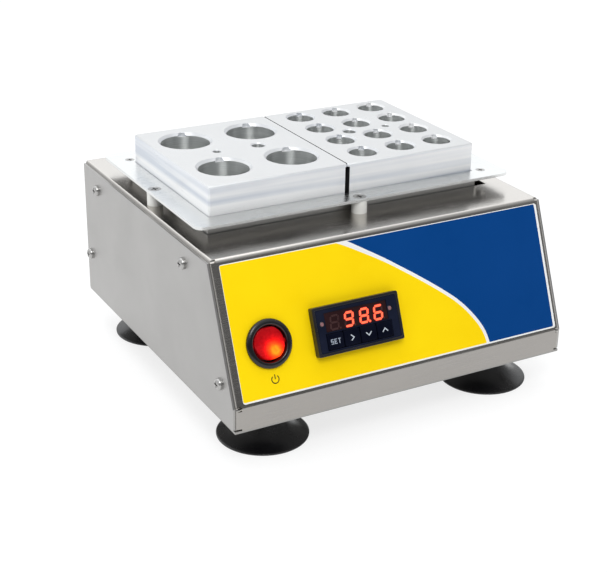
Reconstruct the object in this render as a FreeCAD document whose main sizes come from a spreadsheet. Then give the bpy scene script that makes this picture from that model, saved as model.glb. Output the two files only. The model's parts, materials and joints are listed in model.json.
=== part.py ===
import FreeCAD, Part
import Sketcher
import math
import os

# Dry bath incubator: a stainless bench case with a sloped front panel, an insulated
# heated tray hung from an aluminium plate, two lift-out tube blocks, a panel temperature
# controller, a round rocker switch, a mains inlet and four suction-cup feet.
#
# Case frame used while building: origin at the case's top front left corner,
# +X right along the front, +Y to the back, +Z up. Every sub-part's Placement then moves
# it into the part frame: origin on the bench, under the middle of the outline.
# Panel frame: the same corner, x right, y up the sloped panel, z out of the panel.

doc = FreeCAD.newDocument("dry_bath_incubator")
Vector = FreeCAD.Vector
Rotation = FreeCAD.Rotation
Placement = FreeCAD.Placement

# ------------------------------------------------------------------ dimensions
sheet = doc.addObject("Spreadsheet::Sheet", "dims")
_row = [1]


class Q:
    """A size with its number and the sheet expression that gives it."""

    def __init__(self, v, e):
        self.v = float(v)
        self.e = e

    def __add__(self, o):
        o = q(o)
        return Q(self.v + o.v, "(%s + %s)" % (self.e, o.e))

    def __radd__(self, o):
        return q(o) + self

    def __sub__(self, o):
        o = q(o)
        return Q(self.v - o.v, "(%s - %s)" % (self.e, o.e))

    def __rsub__(self, o):
        return q(o) - self

    def __mul__(self, o):
        o = q(o)
        return Q(self.v * o.v, "(%s * %s)" % (self.e, o.e))

    def __rmul__(self, o):
        return q(o) * self

    def __truediv__(self, o):
        o = q(o)
        return Q(self.v / o.v, "(%s / %s)" % (self.e, o.e))

    def __neg__(self):
        return Q(-self.v, "(0 - %s)" % self.e)

    def __float__(self):
        return self.v


def q(x):
    return x if isinstance(x, Q) else Q(x, "%.6f" % float(x) if float(x) >= 0 else "(0 - %.6f)" % -float(x))


def dim(alias, value, note=""):
    r = _row[0]
    sheet.set("A%d" % r, alias)
    sheet.set("B%d" % r, "%.6f" % value)
    sheet.setAlias("B%d" % r, alias)
    sheet.set("C%d" % r, note)
    _row[0] += 1
    return Q(value, "dims." + alias)


case_w = dim("case_width", 192.0, "over the side covers")
case_d = dim("top_depth", 163.0, "top face, front edge to back")
setback = dim("slope_setback", 27.0, "front panel's run")
slope_h = dim("slope_height", 65.0, "front panel's rise")
case_h = dim("case_height", 78.0, "top face to underside of base plate")
sheet_t = dim("sheet_thickness", 1.2, "stainless sheet")
flange_w = dim("side_flange_width", 14.0)
bend_r = dim("bend_radius", 2.4, "outer bend radius along the width")
edge_r = dim("edge_radius", 1.7, "outer bend radius at the side flanges")
cover_in = dim("cover_inset", 1.6, "side cover edge back from the wrap")
foot_h = dim("foot_height", 20.0)
back_out = dim("inlet_flange_thickness", 2.6)
corner_k = dim("slope_corner_factor", math.tan(math.atan2(27.0, 65.0) / 2), "tan of half the panel's lean")
corner_t = dim("top_corner_factor", math.tan(math.radians(45) - math.atan2(27.0, 65.0) / 2))

plate_x0 = dim("plate_left", 4.5)
plate_w = dim("plate_width", 183.0)
plate_y0 = dim("plate_front", 20.6)
plate_d = dim("plate_depth", 122.0)
plate_z = dim("plate_standoff_height", 6.7, "case top to plate underside")
plate_t = dim("plate_thickness", 1.5)
plate_r = dim("plate_corner_radius", 5.0)

block_x0 = dim("block_left", 15.9)
block_y0 = dim("block_front", 32.0)
block_w = dim("block_width", 77.0)
block_d = dim("block_depth", 92.4)
block_h = dim("block_height", 50.8, "2 in blocks")
block_top = dim("block_top", 23.4, "above the case top")
block_gap = dim("block_gap", 0.3)
block_c = dim("block_edge_chamfer", 0.8)
tray_gap = dim("tray_clearance", 0.3)
well_deep = dim("well_depth", 45.0)
big_c = dim("big_well_chamfer", 1.3)
small_c = dim("small_well_chamfer", 1.0)
well_f1 = dim("first_well_floor_fillet", 0.7)
well_f = dim("well_floor_fillet", 1.0)
notch_deep = dim("rim_notch_depth", 2.0, "flat ledge below the block's top")
stem_c = dim("thermometer_hole_chamfer", 0.6)
big_r = dim("big_well_radius", 13.0, "26 mm wells, 28.6 mm across the chamfer")
big_x = dim("big_well_first_x", 35.7)
big_px = dim("big_well_pitch_x", 38.4)
big_y = dim("big_well_first_y", 56.2)
big_py = dim("big_well_pitch_y", 46.4)
small_r = dim("small_well_radius", 7.3, "14.6 mm wells, 16.6 mm across the chamfer")
small_x = dim("small_well_first_x", 110.6)
small_px = dim("small_well_pitch_x", 22.95)
small_y = dim("small_well_first_y", 46.3)
small_py = dim("small_well_pitch_y", 22.3)

spread_t = dim("heat_spreader_thickness", 5.0)
mat_t = dim("heater_mat_thickness", 1.5)
clamp_t = dim("clamp_plate_thickness", 1.2)

ctl_x0 = dim("controller_left", 46.3, "on the panel")
ctl_s0 = dim("controller_top", 31.1, "down the panel")
ctl_w = dim("controller_bezel_width", 48.0, "1/32 DIN")
ctl_b = dim("controller_bezel_height", 24.0, "1/32 DIN")
ctl_out = dim("controller_bezel_depth", 4.3)
ctl_deep = dim("controller_case_depth", 60.0)
sw_x = dim("switch_centre_x", 23.1)
sw_s = dim("switch_centre_down", 43.1)
sw_r = dim("switch_bezel_radius", 11.9)
foot_r = dim("foot_radius", 23.3)
foot_x = dim("foot_inset_x", 29.1)
foot_yf = dim("foot_front_y", 0.6)
foot_yb = dim("foot_back_y", 133.4)
doc.recompute()

W, D, S, H1, H2, T = (x.v for x in (case_w, case_d, setback, slope_h, case_h, sheet_t))
XS = -W / 2.0
YS = -(-S + D + back_out.v) / 2.0
ZS = H2 + foot_h.v
SLOPE = math.hypot(S, H1)
CASE = Placement(Vector(XS, YS, ZS), Rotation())
# panel frame: turned about X so that +Y runs up the slope and +Z points out of it
PANEL = Placement(Vector(XS, YS, ZS), Rotation(Vector(1, 0, 0), math.degrees(math.atan2(H1, S))))

parts = []


def keep(obj, label, place=CASE):
    obj.Label = label
    if place is not None:
        obj.Placement = place
    parts.append(obj)
    return obj


# ------------------------------------------------------------------ helpers
def body(label, place=CASE):
    b = doc.addObject("PartDesign::Body", label)
    return keep(b, label, place)


def sketch(b, name, plane="XY_Plane", off=0.0, tilt=None):
    """A sketch on one of the body's own planes, moved along the plane's normal."""
    s = b.newObject("Sketcher::SketchObject", name)
    origin = [o for o in b.Origin.OriginFeatures if o.Role == plane][0]
    s.AttachmentSupport = [(origin, "")]
    s.MapMode = "FlatFace"
    off = q(off)
    if tilt is not None:
        s.AttachmentOffset = Placement(tilt.multVec(Vector(0, 0, off.v)), tilt)
        return s
    s.AttachmentOffset = Placement(Vector(0, 0, off.v), Rotation())
    if off.v:
        s.setExpression("AttachmentOffset.Base.z", off.e)
    return s


def bind(s, kind, geo, pos, value, axis=None):
    """One position constraint from the sketch origin, tied to the sheet."""
    value = q(value)
    if abs(value.v) < 1e-9:
        if kind == "DistanceX":
            s.addConstraint(Sketcher.Constraint("PointOnObject", geo, pos, -2))
        else:
            s.addConstraint(Sketcher.Constraint("PointOnObject", geo, pos, -1))
        return
    i = s.addConstraint(Sketcher.Constraint(kind, -1, 1, geo, pos, value.v))
    s.setExpression("Constraints[%d]" % i, value.e)


def poly(s, pts):
    """Closed outline through points given as sheet sizes."""
    n = len(pts)
    pv = [(q(a).v, q(b).v) for a, b in pts]
    base = s.GeometryCount
    for i in range(n):
        a, c = pv[i], pv[(i + 1) % n]
        s.addGeometry(Part.LineSegment(Vector(a[0], a[1], 0), Vector(c[0], c[1], 0)), False)
    for i in range(n):
        s.addConstraint(Sketcher.Constraint("Coincident", base + i, 2, base + (i + 1) % n, 1))
    for i, (a, b) in enumerate(pts):
        bind(s, "DistanceX", base + i, 1, a)
        bind(s, "DistanceY", base + i, 1, b)


def rect(s, x0, y0, x1, y1):
    poly(s, [(x0, y0), (x1, y0), (x1, y1), (x0, y1)])


def circle(s, x, y, r):
    i = s.addGeometry(Part.Circle(Vector(q(x).v, q(y).v, 0), Vector(0, 0, 1), q(r).v), False)
    bind(s, "DistanceX", i, 3, x)
    bind(s, "DistanceY", i, 3, y)
    c = s.addConstraint(Sketcher.Constraint("Radius", i, q(r).v))
    s.setExpression("Constraints[%d]" % c, q(r).e)


def pad(b, s, length, name, rev=False):
    f = b.newObject("PartDesign::Pad", name)
    f.Profile = s
    f.Length = q(length).v
    f.setExpression("Length", q(length).e)
    f.Reversed = rev
    s.Visibility = False
    return f


cuts = []


def pocket(b, s, length, name, rev=False):
    """Cut against the sketch's own normal, or along it with rev; checked by volume."""
    f = b.newObject("PartDesign::Pocket", name)
    f.Profile = s
    f.Length = q(length).v
    f.setExpression("Length", q(length).e)
    f.Reversed = rev
    s.Visibility = False
    cuts.append(f)
    return f


def edges_where(shape, test):
    out = []
    for i, e in enumerate(shape.Edges):
        if len(e.Vertexes) == 2 and test(e.Vertexes[0].Point, e.Vertexes[1].Point, e):
            out.append("Edge%d" % (i + 1))
    return out


def fillet(b, base, names, r, name, kind="PartDesign::Fillet"):
    f = b.newObject(kind, name)
    f.Base = (base, names)
    if kind.endswith("Fillet"):
        f.Radius = q(r).v
        f.setExpression("Radius", q(r).e)
    else:
        f.Size = q(r).v
        f.setExpression("Size", q(r).e)
    return f


def prim(kind, name, sizes, at=(0, 0, 0), rot=None):
    """A Part primitive with its sizes bound to the sheet, placed in the local frame."""
    o = doc.addObject(kind, name)
    for k, v in sizes.items():
        setattr(o, k, q(v).v)
        o.setExpression(k, q(v).e)
    o.Placement = Placement(Vector(*[q(v).v for v in at]), rot or Rotation())
    if rot is None:
        for k, v in zip("xyz", at):
            if isinstance(v, Q):
                o.setExpression("Placement.Base." + k, v.e)
    return o


def box(name, x0, y0, z0, x1, y1, z1):
    x0, y0, z0, x1, y1, z1 = (q(v) for v in (x0, y0, z0, x1, y1, z1))
    return prim("Part::Box", name, {"Length": x1 - x0, "Width": y1 - y0, "Height": z1 - z0}, (x0, y0, z0))


ROTS = {"z": None, "-z": Rotation(Vector(1, 0, 0), 180), "y": Rotation(Vector(1, 0, 0), -90), "x": Rotation(Vector(0, 1, 0), 90), "-x": Rotation(Vector(0, 1, 0), -90), "-y": Rotation(Vector(1, 0, 0), 90)}


def cyl(name, x, y, z, r, h, axis="z"):
    return prim("Part::Cylinder", name, {"Radius": r, "Height": h}, (x, y, z), ROTS[axis])


def cone(name, x, y, z, r1, r2, h, axis="z"):
    return prim("Part::Cone", name, {"Radius1": r1, "Radius2": r2, "Height": h}, (x, y, z), ROTS[axis])


def fuse(name, objs):
    f = doc.addObject("Part::MultiFuse", name)
    f.Shapes = objs
    return f


def cut(name, a, b):
    if isinstance(b, list):
        b = fuse(name + "_tools", b) if len(b) > 1 else b[0]
    f = doc.addObject("Part::Cut", name)
    f.Base = a
    f.Tool = b
    return f


def common(name, a, b):
    f = doc.addObject("Part::MultiCommon", name)
    f.Shapes = [a, b]
    return f


def group(name, objs):
    f = doc.addObject("Part::Compound", name)
    f.Links = objs
    return f


def feature(label, shape, place=CASE):
    f = doc.addObject("Part::Feature", label)
    f.Shape = shape
    return keep(f, label, place)


def screw_solid(head_r, head_h, shank_r, length, kind="pan"):
    """One machine screw along -Z, pan head above z = 0 or flat head below it, cross recess."""
    if kind == "pan":
        prof = [Vector(0, 0, head_h), Vector(head_r * 0.42, 0, head_h)]
        top = Part.Arc(Vector(head_r * 0.42, 0, head_h), Vector(head_r * 0.86, 0, head_h * 0.80), Vector(head_r, 0, head_h * 0.30)).toShape()
        e = [Part.makeLine(prof[0], prof[1]), top,
             Part.makeLine(Vector(head_r, 0, head_h * 0.30), Vector(head_r, 0, 0)),
             Part.makeLine(Vector(head_r, 0, 0), Vector(shank_r, 0, 0)),
             Part.makeLine(Vector(shank_r, 0, 0), Vector(shank_r, 0, -length)),
             Part.makeLine(Vector(shank_r, 0, -length), Vector(0, 0, -length)),
             Part.makeLine(Vector(0, 0, -length), Vector(0, 0, head_h))]
        z_top = head_h
    else:
        e = [Part.makeLine(Vector(0, 0, 0), Vector(head_r, 0, 0)),
             Part.makeLine(Vector(head_r, 0, 0), Vector(head_r, 0, -0.05)),
             Part.makeLine(Vector(head_r, 0, -0.05), Vector(shank_r, 0, -0.05 - (head_r - shank_r))),
             Part.makeLine(Vector(shank_r, 0, -0.05 - (head_r - shank_r)), Vector(shank_r, 0, -length)),
             Part.makeLine(Vector(shank_r, 0, -length), Vector(0, 0, -length)),
             Part.makeLine(Vector(0, 0, -length), Vector(0, 0, 0))]
        z_top = 0.0
    solid = Part.Face(Part.Wire(e)).revolve(Vector(0, 0, 0), Vector(0, 0, 1), 360)
    w, l, dp = head_r * 0.24, head_r * 1.15, min(head_h, 1.4) * 0.72
    bar = Part.makeBox(l, w, dp + 1, Vector(-l / 2, -w / 2, z_top - dp))
    bar2 = Part.makeBox(w, l, dp + 1, Vector(-w / 2, -l / 2, z_top - dp))
    return solid.cut(bar.fuse(bar2))


def at(shape, x, y, z, rot=None):
    s = shape.copy()
    s.Placement = Placement(Vector(x, y, z), rot or Rotation()).multiply(s.Placement)
    return s


def nut_solid(flat, height, hole_r):
    r = flat / math.sqrt(3.0)
    pts = [Vector(r * math.cos(math.radians(60 * i)), r * math.sin(math.radians(60 * i)), 0) for i in range(7)]
    pts[6] = pts[0]
    n = Part.Face(Part.makePolygon(pts)).extrude(Vector(0, 0, height))
    return n.cut(Part.makeCylinder(hole_r, height + 2, Vector(0, 0, -1)))


# ------------------------------------------------------------------ case wrap
# Side profile of the wrap, in the YZ plane. Its bottom stands on the base plate.
wrap_bot = -(case_h - sheet_t)


def profile(inset, bottom):
    """Outline offset inwards by inset, as (y, z) sheet sizes; bottom is its own level."""
    i = q(inset)
    return [(i * corner_t, -i), (case_d - i, -i), (case_d - i, bottom), (-(setback - i), bottom),
            (-(setback - i), -(slope_h + i * corner_k))]


shell = body("case_shell")
s = sketch(shell, "shell_profile", "YZ_Plane", sheet_t)
poly(s, profile(0.0, wrap_bot))
p0 = pad(shell, s, case_w - 2 * sheet_t, "shell_outer")
doc.recompute()


def is_bend(p, r, e):
    return abs(p.y - r.y) < 1e-4 and abs(p.z - r.z) < 1e-4 and any(
        abs(p.y - y) < 1e-3 and abs(p.z - z) < 1e-3 for y, z in ((0, 0), (D, 0), (-S, -H1)))


f0 = fillet(shell, p0, edges_where(p0.Shape, is_bend), bend_r, "shell_bends")
doc.recompute()


def is_side_edge(p, r, e):
    low = -(H2 - T)
    return abs(p.x - r.x) < 1e-4 and not (abs(p.z - low) < 1e-3 and abs(r.z - low) < 1e-3)


f1 = fillet(shell, f0, edges_where(f0.Shape, is_side_edge), edge_r, "shell_side_bends")
doc.recompute()

s = sketch(shell, "shell_hollow", "YZ_Plane", 2 * sheet_t)
poly(s, profile(sheet_t, wrap_bot + sheet_t))
pocket(shell, s, case_w - 4 * sheet_t, "shell_inside", rev=True)
s = sketch(shell, "shell_windows", "YZ_Plane", -1.0)
window_z = wrap_bot + flange_w
poly(s, [(flange_w * corner_t, -flange_w), (case_d - flange_w, -flange_w), (case_d - flange_w, window_z),
         (flange_w * corner_t + (window_z + flange_w) * setback / slope_h, window_z)])
pocket(shell, s, case_w + 2, "shell_side_windows", rev=True)
s = sketch(shell, "shell_underside", "XY_Plane", -case_h)
rect(s, sheet_t + flange_w, -(setback - flange_w), case_w - sheet_t - flange_w, case_d - flange_w)
pocket(shell, s, 4 * sheet_t, "shell_bottom_window", rev=True)
# opening in the top for the tray, and the stand-off screw holes
s = sketch(shell, "shell_top_opening", "XY_Plane", sheet_t)
rect(s, 13.8, 30.0, 178.8, 132.0)
post_xy = [(case_w / 2, q(24.5)), (q(8.3), q(80.5)), (case_w - 8.3, q(80.5)), (case_w / 2, q(138.7))]
for x, y in post_xy:
    circle(s, x, y, 2.15)
pocket(shell, s, 4 * sheet_t, "shell_top_cut")
# mains inlet, its screws, and a row of vent slots in the back
inlet_x, inlet_z = dim("inlet_centre_x", 150.0), dim("inlet_centre_z", -44.0)
s = sketch(shell, "shell_back_cuts", "XZ_Plane", -(case_d - 4 * sheet_t))
rect(s, inlet_x - 14.2, inlet_z - 10.6, inlet_x + 14.2, inlet_z + 10.6)
circle(s, inlet_x - 20, inlet_z, 1.65)
circle(s, inlet_x + 20, inlet_z, 1.65)
for i in range(9):
    rect(s, 28.0 + 8.0 * i, -40.0, 31.0 + 8.0 * i, -22.0)
pocket(shell, s, 8 * sheet_t, "shell_back_pocket")
# holes in the side flanges for the cover screws
cover_screws = [(141.7, -11.3), (156.0, -53.7), (28.1, -11.4), (-11.7, -57.8)]
s = sketch(shell, "shell_flange_holes", "YZ_Plane", -1.0)
for y, z in cover_screws:
    circle(s, y, z, 1.55)
pocket(shell, s, case_w + 2, "shell_flange_pocket", rev=True)
# screw holes in the bottom flanges
s = sketch(shell, "shell_bottom_holes", "XY_Plane", -case_h)
base_xy = [(q(12.0), q(-20.0)), (case_w - 12.0, q(-20.0)), (q(12.0), case_d - 7), (case_w - 12.0, case_d - 7),
           (case_w / 2, q(-20.0)), (case_w / 2, case_d - 7)]
for x, y in base_xy:
    circle(s, x, y, 1.55)
pocket(shell, s, 5 * sheet_t, "shell_bottom_hole_pocket", rev=True)
# the relief notches where the bends meet, at both ends of the top and front edges
for side, off, rev in (("left", q(4.0), False), ("right", case_w - 4.0, True)):
    s = sketch(shell, "relief_" + side, "YZ_Plane", off)
    circle(s, 0.0, 0.0, 1.3)
    circle(s, -setback, -slope_h, 1.3)
    circle(s, -setback, wrap_bot, 1.3)
    pocket(shell, s, 3.4, "shell_relief_" + side, rev=rev)
# panel cut-outs, square to the sloped face
LEAN = Rotation(Vector(1, 0, 0), math.degrees(math.atan2(H1, S)))
s = sketch(shell, "shell_panel_cuts", "XY_Plane", 0.5, tilt=LEAN)
rect(s, ctl_x0 + 1.4, -(ctl_s0 + ctl_b - 0.8), ctl_x0 + ctl_w - 1.4, -(ctl_s0 + 0.8))
circle(s, sw_x, -sw_s, 10.2)
shell_tip = pocket(shell, s, 3 * sheet_t, "shell_panel_pocket")
doc.recompute()


# ------------------------------------------------------------------ side covers
def side_cover(label, x):
    b = body(label)
    s = sketch(b, label + "_outline", "YZ_Plane", x)
    poly(s, profile(cover_in, wrap_bot + 0.2))
    for y, z in cover_screws:
        circle(s, y, z, 1.7)
    pad(b, s, sheet_t, label + "_sheet")
    return b


side_cover("side_cover_left", q(0.0))
side_cover("side_cover_right", case_w - sheet_t)

IN_X = Rotation(Vector(0, 1, 0), -90)    # head towards -X
OUT_X = Rotation(Vector(0, 1, 0), 90)    # head towards +X
m3_pan = screw_solid(3.0, 2.1, 1.45, 5.0)
feature("side_cover_screws", Part.makeCompound(
    [at(m3_pan, 0, y, z, IN_X) for y, z in cover_screws] + [at(m3_pan, W, y, z, OUT_X) for y, z in cover_screws]))

# ------------------------------------------------------------------ base plate
foot_xy = [(foot_x, foot_yf), (case_w - foot_x, foot_yf), (foot_x, foot_yb), (case_w - foot_x, foot_yb)]
relay_xy = [(134.25, 54.2), (134.25, 102.8)]
base = body("base_plate")
s = sketch(base, "base_outline", "XY_Plane", -case_h)
rect(s, 0.6, -(setback - 0.6), case_w - 0.6, case_d - 0.6)
p = pad(base, s, sheet_t, "base_sheet")
s = sketch(base, "base_holes", "XY_Plane", -(case_h - sheet_t - 1))
for x, y in base_xy:
    circle(s, x, y, 1.7)
for x, y in foot_xy:
    circle(s, x, y, 2.65)
for x, y in relay_xy:
    circle(s, x, y, 2.05)
pocket(base, s, 2 * sheet_t + 1, "base_hole_pocket")
s = sketch(base, "base_vents", "XY_Plane", -(case_h - sheet_t - 1))
for i in range(8):
    rect(s, 62.0 + 9.0 * i, 18.0, 65.5 + 9.0 * i, 40.0)
pocket(base, s, 2 * sheet_t + 1, "base_vent_pocket")
DOWN = Rotation(Vector(1, 0, 0), 180)
m3_base = screw_solid(2.8, 1.9, 1.45, 4.6)
feature("base_screws", Part.makeCompound([at(m3_base, x.v, y.v, -H2, DOWN) for x, y in base_xy]))

# ------------------------------------------------------------------ panel overlay
overlay = body("front_overlay", PANEL)
s = sketch(overlay, "overlay_outline")
rect(s, 5.0, -68.6, case_w - 3.8, -2.6)
pad(overlay, s, dim("overlay_thickness", 0.25), "overlay_film")
s = sketch(overlay, "overlay_cuts", off=1.0)
rect(s, ctl_x0 + 1.3, -(ctl_s0 + ctl_b - 0.7), ctl_x0 + ctl_w - 1.3, -(ctl_s0 + 0.7))
circle(s, sw_x, -sw_s, 10.3)
pocket(overlay, s, 2.0, "overlay_pocket")
doc.recompute()

# ------------------------------------------------------------------ mounting plate and stand-offs
tray_x0, tray_x1 = block_x0 - tray_gap, block_x0 + 2 * block_w + block_gap + tray_gap
tray_y0, tray_y1 = block_y0 - tray_gap, block_y0 + block_d + tray_gap
plate = body("mounting_plate")
s = sketch(plate, "plate_outline", "XY_Plane", plate_z)
rect(s, plate_x0, plate_y0, plate_x0 + plate_w, plate_y0 + plate_d)
p = pad(plate, s, plate_t, "plate_sheet")
doc.recompute()
corner = edges_where(p.Shape, lambda a, b, e: abs(a.x - b.x) < 1e-4 and abs(a.y - b.y) < 1e-4)
f = fillet(plate, p, corner, plate_r, "plate_corners")
s = sketch(plate, "plate_opening", "XY_Plane", plate_z + plate_t + 1)
rect(s, tray_x0, tray_y0, tray_x1, tray_y1)
pocket(plate, s, plate_t + 2, "plate_window")
s = sketch(plate, "plate_holes", "XY_Plane", plate_z + plate_t + 1)
for x, y in post_xy:
    circle(s, x, y, 2.15)
tray_screw_xy = [(14.6, 129.0), (175.2, 31.0)]
for x, y in tray_screw_xy:
    circle(s, x, y, 1.6)
h = pocket(plate, s, plate_t + 2, "plate_hole_pocket")
doc.recompute()


def top_circle(shape, r, z):
    out = []
    for i, e in enumerate(shape.Edges):
        c = e.Curve
        if hasattr(c, "Radius") and abs(c.Radius - r) < 1e-4 and abs(c.Center.z - z) < 1e-4:
            out.append("Edge%d" % (i + 1))
    return out


zt = plate_z.v + plate_t.v
f = fillet(plate, h, top_circle(h.Shape, 2.15, zt), 1.35, "plate_countersinks", "PartDesign::Chamfer")
doc.recompute()
fillet(plate, f, top_circle(f.Shape, 1.6, zt), 1.0, "plate_small_countersinks", "PartDesign::Chamfer")
doc.recompute()

posts = []
for i, (x, y) in enumerate(post_xy):
    posts.append(cut("standoff_%d" % i, cyl("standoff_rod_%d" % i, x, y, 0.0, 4.0, plate_z),
                     cyl("standoff_bore_%d" % i, x, y, -1.0, 2.15, plate_z + 2)))
keep(group("standoffs", posts), "plate_standoffs")
m4_flat = screw_solid(3.4, 1.9, 2.0, 14.0, "flat")
feature("plate_screws", Part.makeCompound([at(m4_flat, x.v, y.v, zt - 0.05) for x, y in post_xy]))
m4_nut = nut_solid(7.0, 3.2, 2.02)
feature("plate_nuts", Part.makeCompound([at(m4_nut, x.v, y.v, -4.4) for x, y in post_xy]))
m3_flat = screw_solid(2.5, 1.5, 1.45, 5.2, "flat")
feature("tray_screws", Part.makeCompound([at(m3_flat, x, y, zt - 0.05) for x, y in tray_screw_xy]))

# ------------------------------------------------------------------ heated tray
floor_z = -(block_h - block_top) - 0.1
tray = body("block_tray")
s = sketch(tray, "tray_flange", "XY_Plane", plate_z - sheet_t)
rect(s, 12.6, 28.8, 178.5, 131.6)
pad(tray, s, sheet_t, "tray_flange_sheet")
s = sketch(tray, "tray_outside", "XY_Plane", floor_z - sheet_t)
rect(s, tray_x0 - sheet_t, tray_y0 - sheet_t, tray_x1 + sheet_t, tray_y1 + sheet_t)
pad(tray, s, plate_z - floor_z, "tray_box")
s = sketch(tray, "tray_inside", "XY_Plane", plate_z + 1)
rect(s, tray_x0, tray_y0, tray_x1, tray_y1)
pocket(tray, s, plate_z - floor_z + 1, "tray_hollow")
s = sketch(tray, "tray_holes", "XY_Plane", plate_z + 1)
for x, y in tray_screw_xy:
    circle(s, x, y, 1.5)
pocket(tray, s, 2 * sheet_t + 1, "tray_hole_pocket")
doc.recompute()
z_tray = floor_z - sheet_t
z_spread = z_tray - spread_t
z_mat = z_spread - mat_t
z_clamp = z_mat - clamp_t
heater_xy = [(40.0, 50.0), (146.0, 50.0), (40.0, 106.0), (146.0, 106.0)]
probe_z = z_tray - spread_t / 2
keep(cut("spreader", box("spreader_bar", 16.0, 33.0, z_spread, 170.0, 123.0, z_tray),
         [cyl("spreader_bore", 60.0, 94.0, probe_z, 2.1, 40.0, "y")] +
         [cyl("spreader_tap_%d" % i, x, y, z_spread - 1, 1.5, 4.0) for i, (x, y) in enumerate(heater_xy)]), "heat_spreader")
keep(cut("mat", box("mat_sheet", 18.0, 35.0, z_mat, 168.0, 121.0, z_spread),
         [cyl("mat_hole_%d" % i, x, y, z_mat - 1, 2.3, 6.0) for i, (x, y) in enumerate(heater_xy)]), "heater_mat")
keep(cut("clamp", box("clamp_sheet", 16.0, 33.0, z_clamp, 170.0, 123.0, z_mat),
         [cyl("clamp_hole_%d" % i, x, y, z_clamp - 1, 1.6, 6.0) for i, (x, y) in enumerate(heater_xy)]), "heater_clamp_plate")
m3_heat = screw_solid(2.8, 1.9, 1.42, 5.0)
feature("heater_screws", Part.makeCompound([at(m3_heat, x, y, z_clamp.v, DOWN) for x, y in heater_xy]))
cut_x, cut_y = 93.0, 80.0
keep(cut("insulation", box("insulation_block", 6.0, 25.0, -43.0, 178.5, 133.0, -8.0),
         [box("insulation_cavity", 13.9, 30.0, -39.4, 172.2, 126.4, 0.0),
          cyl("insulation_hole", cut_x, cut_y, -50.0, 9.5, 20.0),
          cyl("insulation_probe_hole", 60.0, 120.0, probe_z, 2.4, 20.0, "y"),
          cyl("insulation_lead_hole", 100.0, 120.0, z_mat + mat_t / 2, 2.4, 20.0, "y")]), "tray_insulation")
keep(fuse("cutout", [cyl("cutout_can", cut_x, cut_y, z_clamp - 6.0, 8.0, 6.0),
                     cyl("cutout_base", cut_x, cut_y, z_clamp - 9.0, 7.2, 3.0),
                     box("cutout_blade_a", cut_x - 5.2, cut_y - 2.4, z_clamp - 15.0, cut_x - 4.4, cut_y + 2.4, z_clamp - 8.0),
                     box("cutout_blade_b", cut_x + 4.4, cut_y - 2.4, z_clamp - 15.0, cut_x + 5.2, cut_y + 2.4, z_clamp - 8.0)]), "thermal_cutout")
keep(group("probe", [cyl("probe_rod", 60.0, 94.3, probe_z, 2.0, 41.7, "y")]), "temperature_probe")


# ------------------------------------------------------------------ tube blocks
def tube_block(label, x0, wells, r, well_c, groove_r, groove_d, groove_a, holes):
    """Solid aluminium block: wells from the top, each with a small flat notch in its rim, and a stem hole drilled right through."""
    b = body(label)
    s = sketch(b, label + "_outline", "XY_Plane", block_top - block_h)
    rect(s, x0, block_y0, x0 + block_w, block_y0 + block_d)
    p = pad(b, s, block_h, label + "_bar")
    doc.recompute()
    e = edges_where(p.Shape, lambda a, c, e: abs(a.x - c.x) < 1e-4 and abs(a.y - c.y) < 1e-4)
    f = fillet(b, p, e, block_c, label + "_edge_chamfers", "PartDesign::Chamfer")
    s = sketch(b, label + "_wells", "XY_Plane", block_top)
    for x, y in wells:
        circle(s, x, y, r)
    w = pocket(b, s, well_deep, label + "_well_pocket")
    doc.recompute()
    f = fillet(b, w, top_circle(w.Shape, r.v, block_top.v), well_c, label + "_well_chamfers", "PartDesign::Chamfer")
    doc.recompute()
    # the drill's corner radius at each well's floor, the first well's cut with a newer, sharper one
    zf = block_top.v - well_deep.v
    x1, y1 = wells[0][0].v, wells[0][1].v

    def floor_edges(shape, first):
        names = []
        for i, e in enumerate(shape.Edges):
            c = e.Curve
            if hasattr(c, "Radius") and abs(c.Radius - r.v) < 1e-4 and abs(c.Center.z - zf) < 1e-4:
                if (math.hypot(c.Center.x - x1, c.Center.y - y1) < 1e-3) == first:
                    names.append("Edge%d" % (i + 1))
        return names

    f = fillet(b, f, floor_edges(f.Shape, True), well_f1, label + "_first_floor")
    doc.recompute()
    fillet(b, f, floor_edges(f.Shape, False), well_f, label + "_floors")
    doc.recompute()
    s = sketch(b, label + "_notches", "XY_Plane", block_top)
    a = math.radians(groove_a)
    for x, y in wells:
        circle(s, x + groove_d * math.sin(a), y + groove_d * math.cos(a), groove_r)
    pocket(b, s, notch_deep, label + "_notch_pocket")
    for i, (x, y, hr, dp) in enumerate(holes):
        s = sketch(b, label + "_hole_%d" % i, "XY_Plane", block_top)
        circle(s, x, y, hr)
        h = pocket(b, s, dp, label + "_hole_pocket_%d" % i)
        if i == 0:
            doc.recompute()
            fillet(b, h, top_circle(h.Shape, hr, block_top.v), stem_c, label + "_stem_hole_chamfer", "PartDesign::Chamfer")
    doc.recompute()
    return b


big = [(big_x + big_px * i, big_y + big_py * j) for j in range(2) for i in range(2)]
tube_block("tube_block_4_well", block_x0, big, big_r, big_c, 2.4, 12.2, 16.0,
           [(66.8, 79.4, 3.5, 52.0), (43.0, 79.4, 2.1, 16.0)])
small = [(small_x + small_px * i, small_y + small_py * j) for j in range(4) for i in range(3)]
tube_block("tube_block_12_well", block_x0 + block_w + block_gap, small, small_r, small_c, 1.5, 7.4, 24.0,
           [(122.1, 79.2, 3.5, 52.0), (145.0, 79.2, 2.1, 16.0)])

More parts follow.
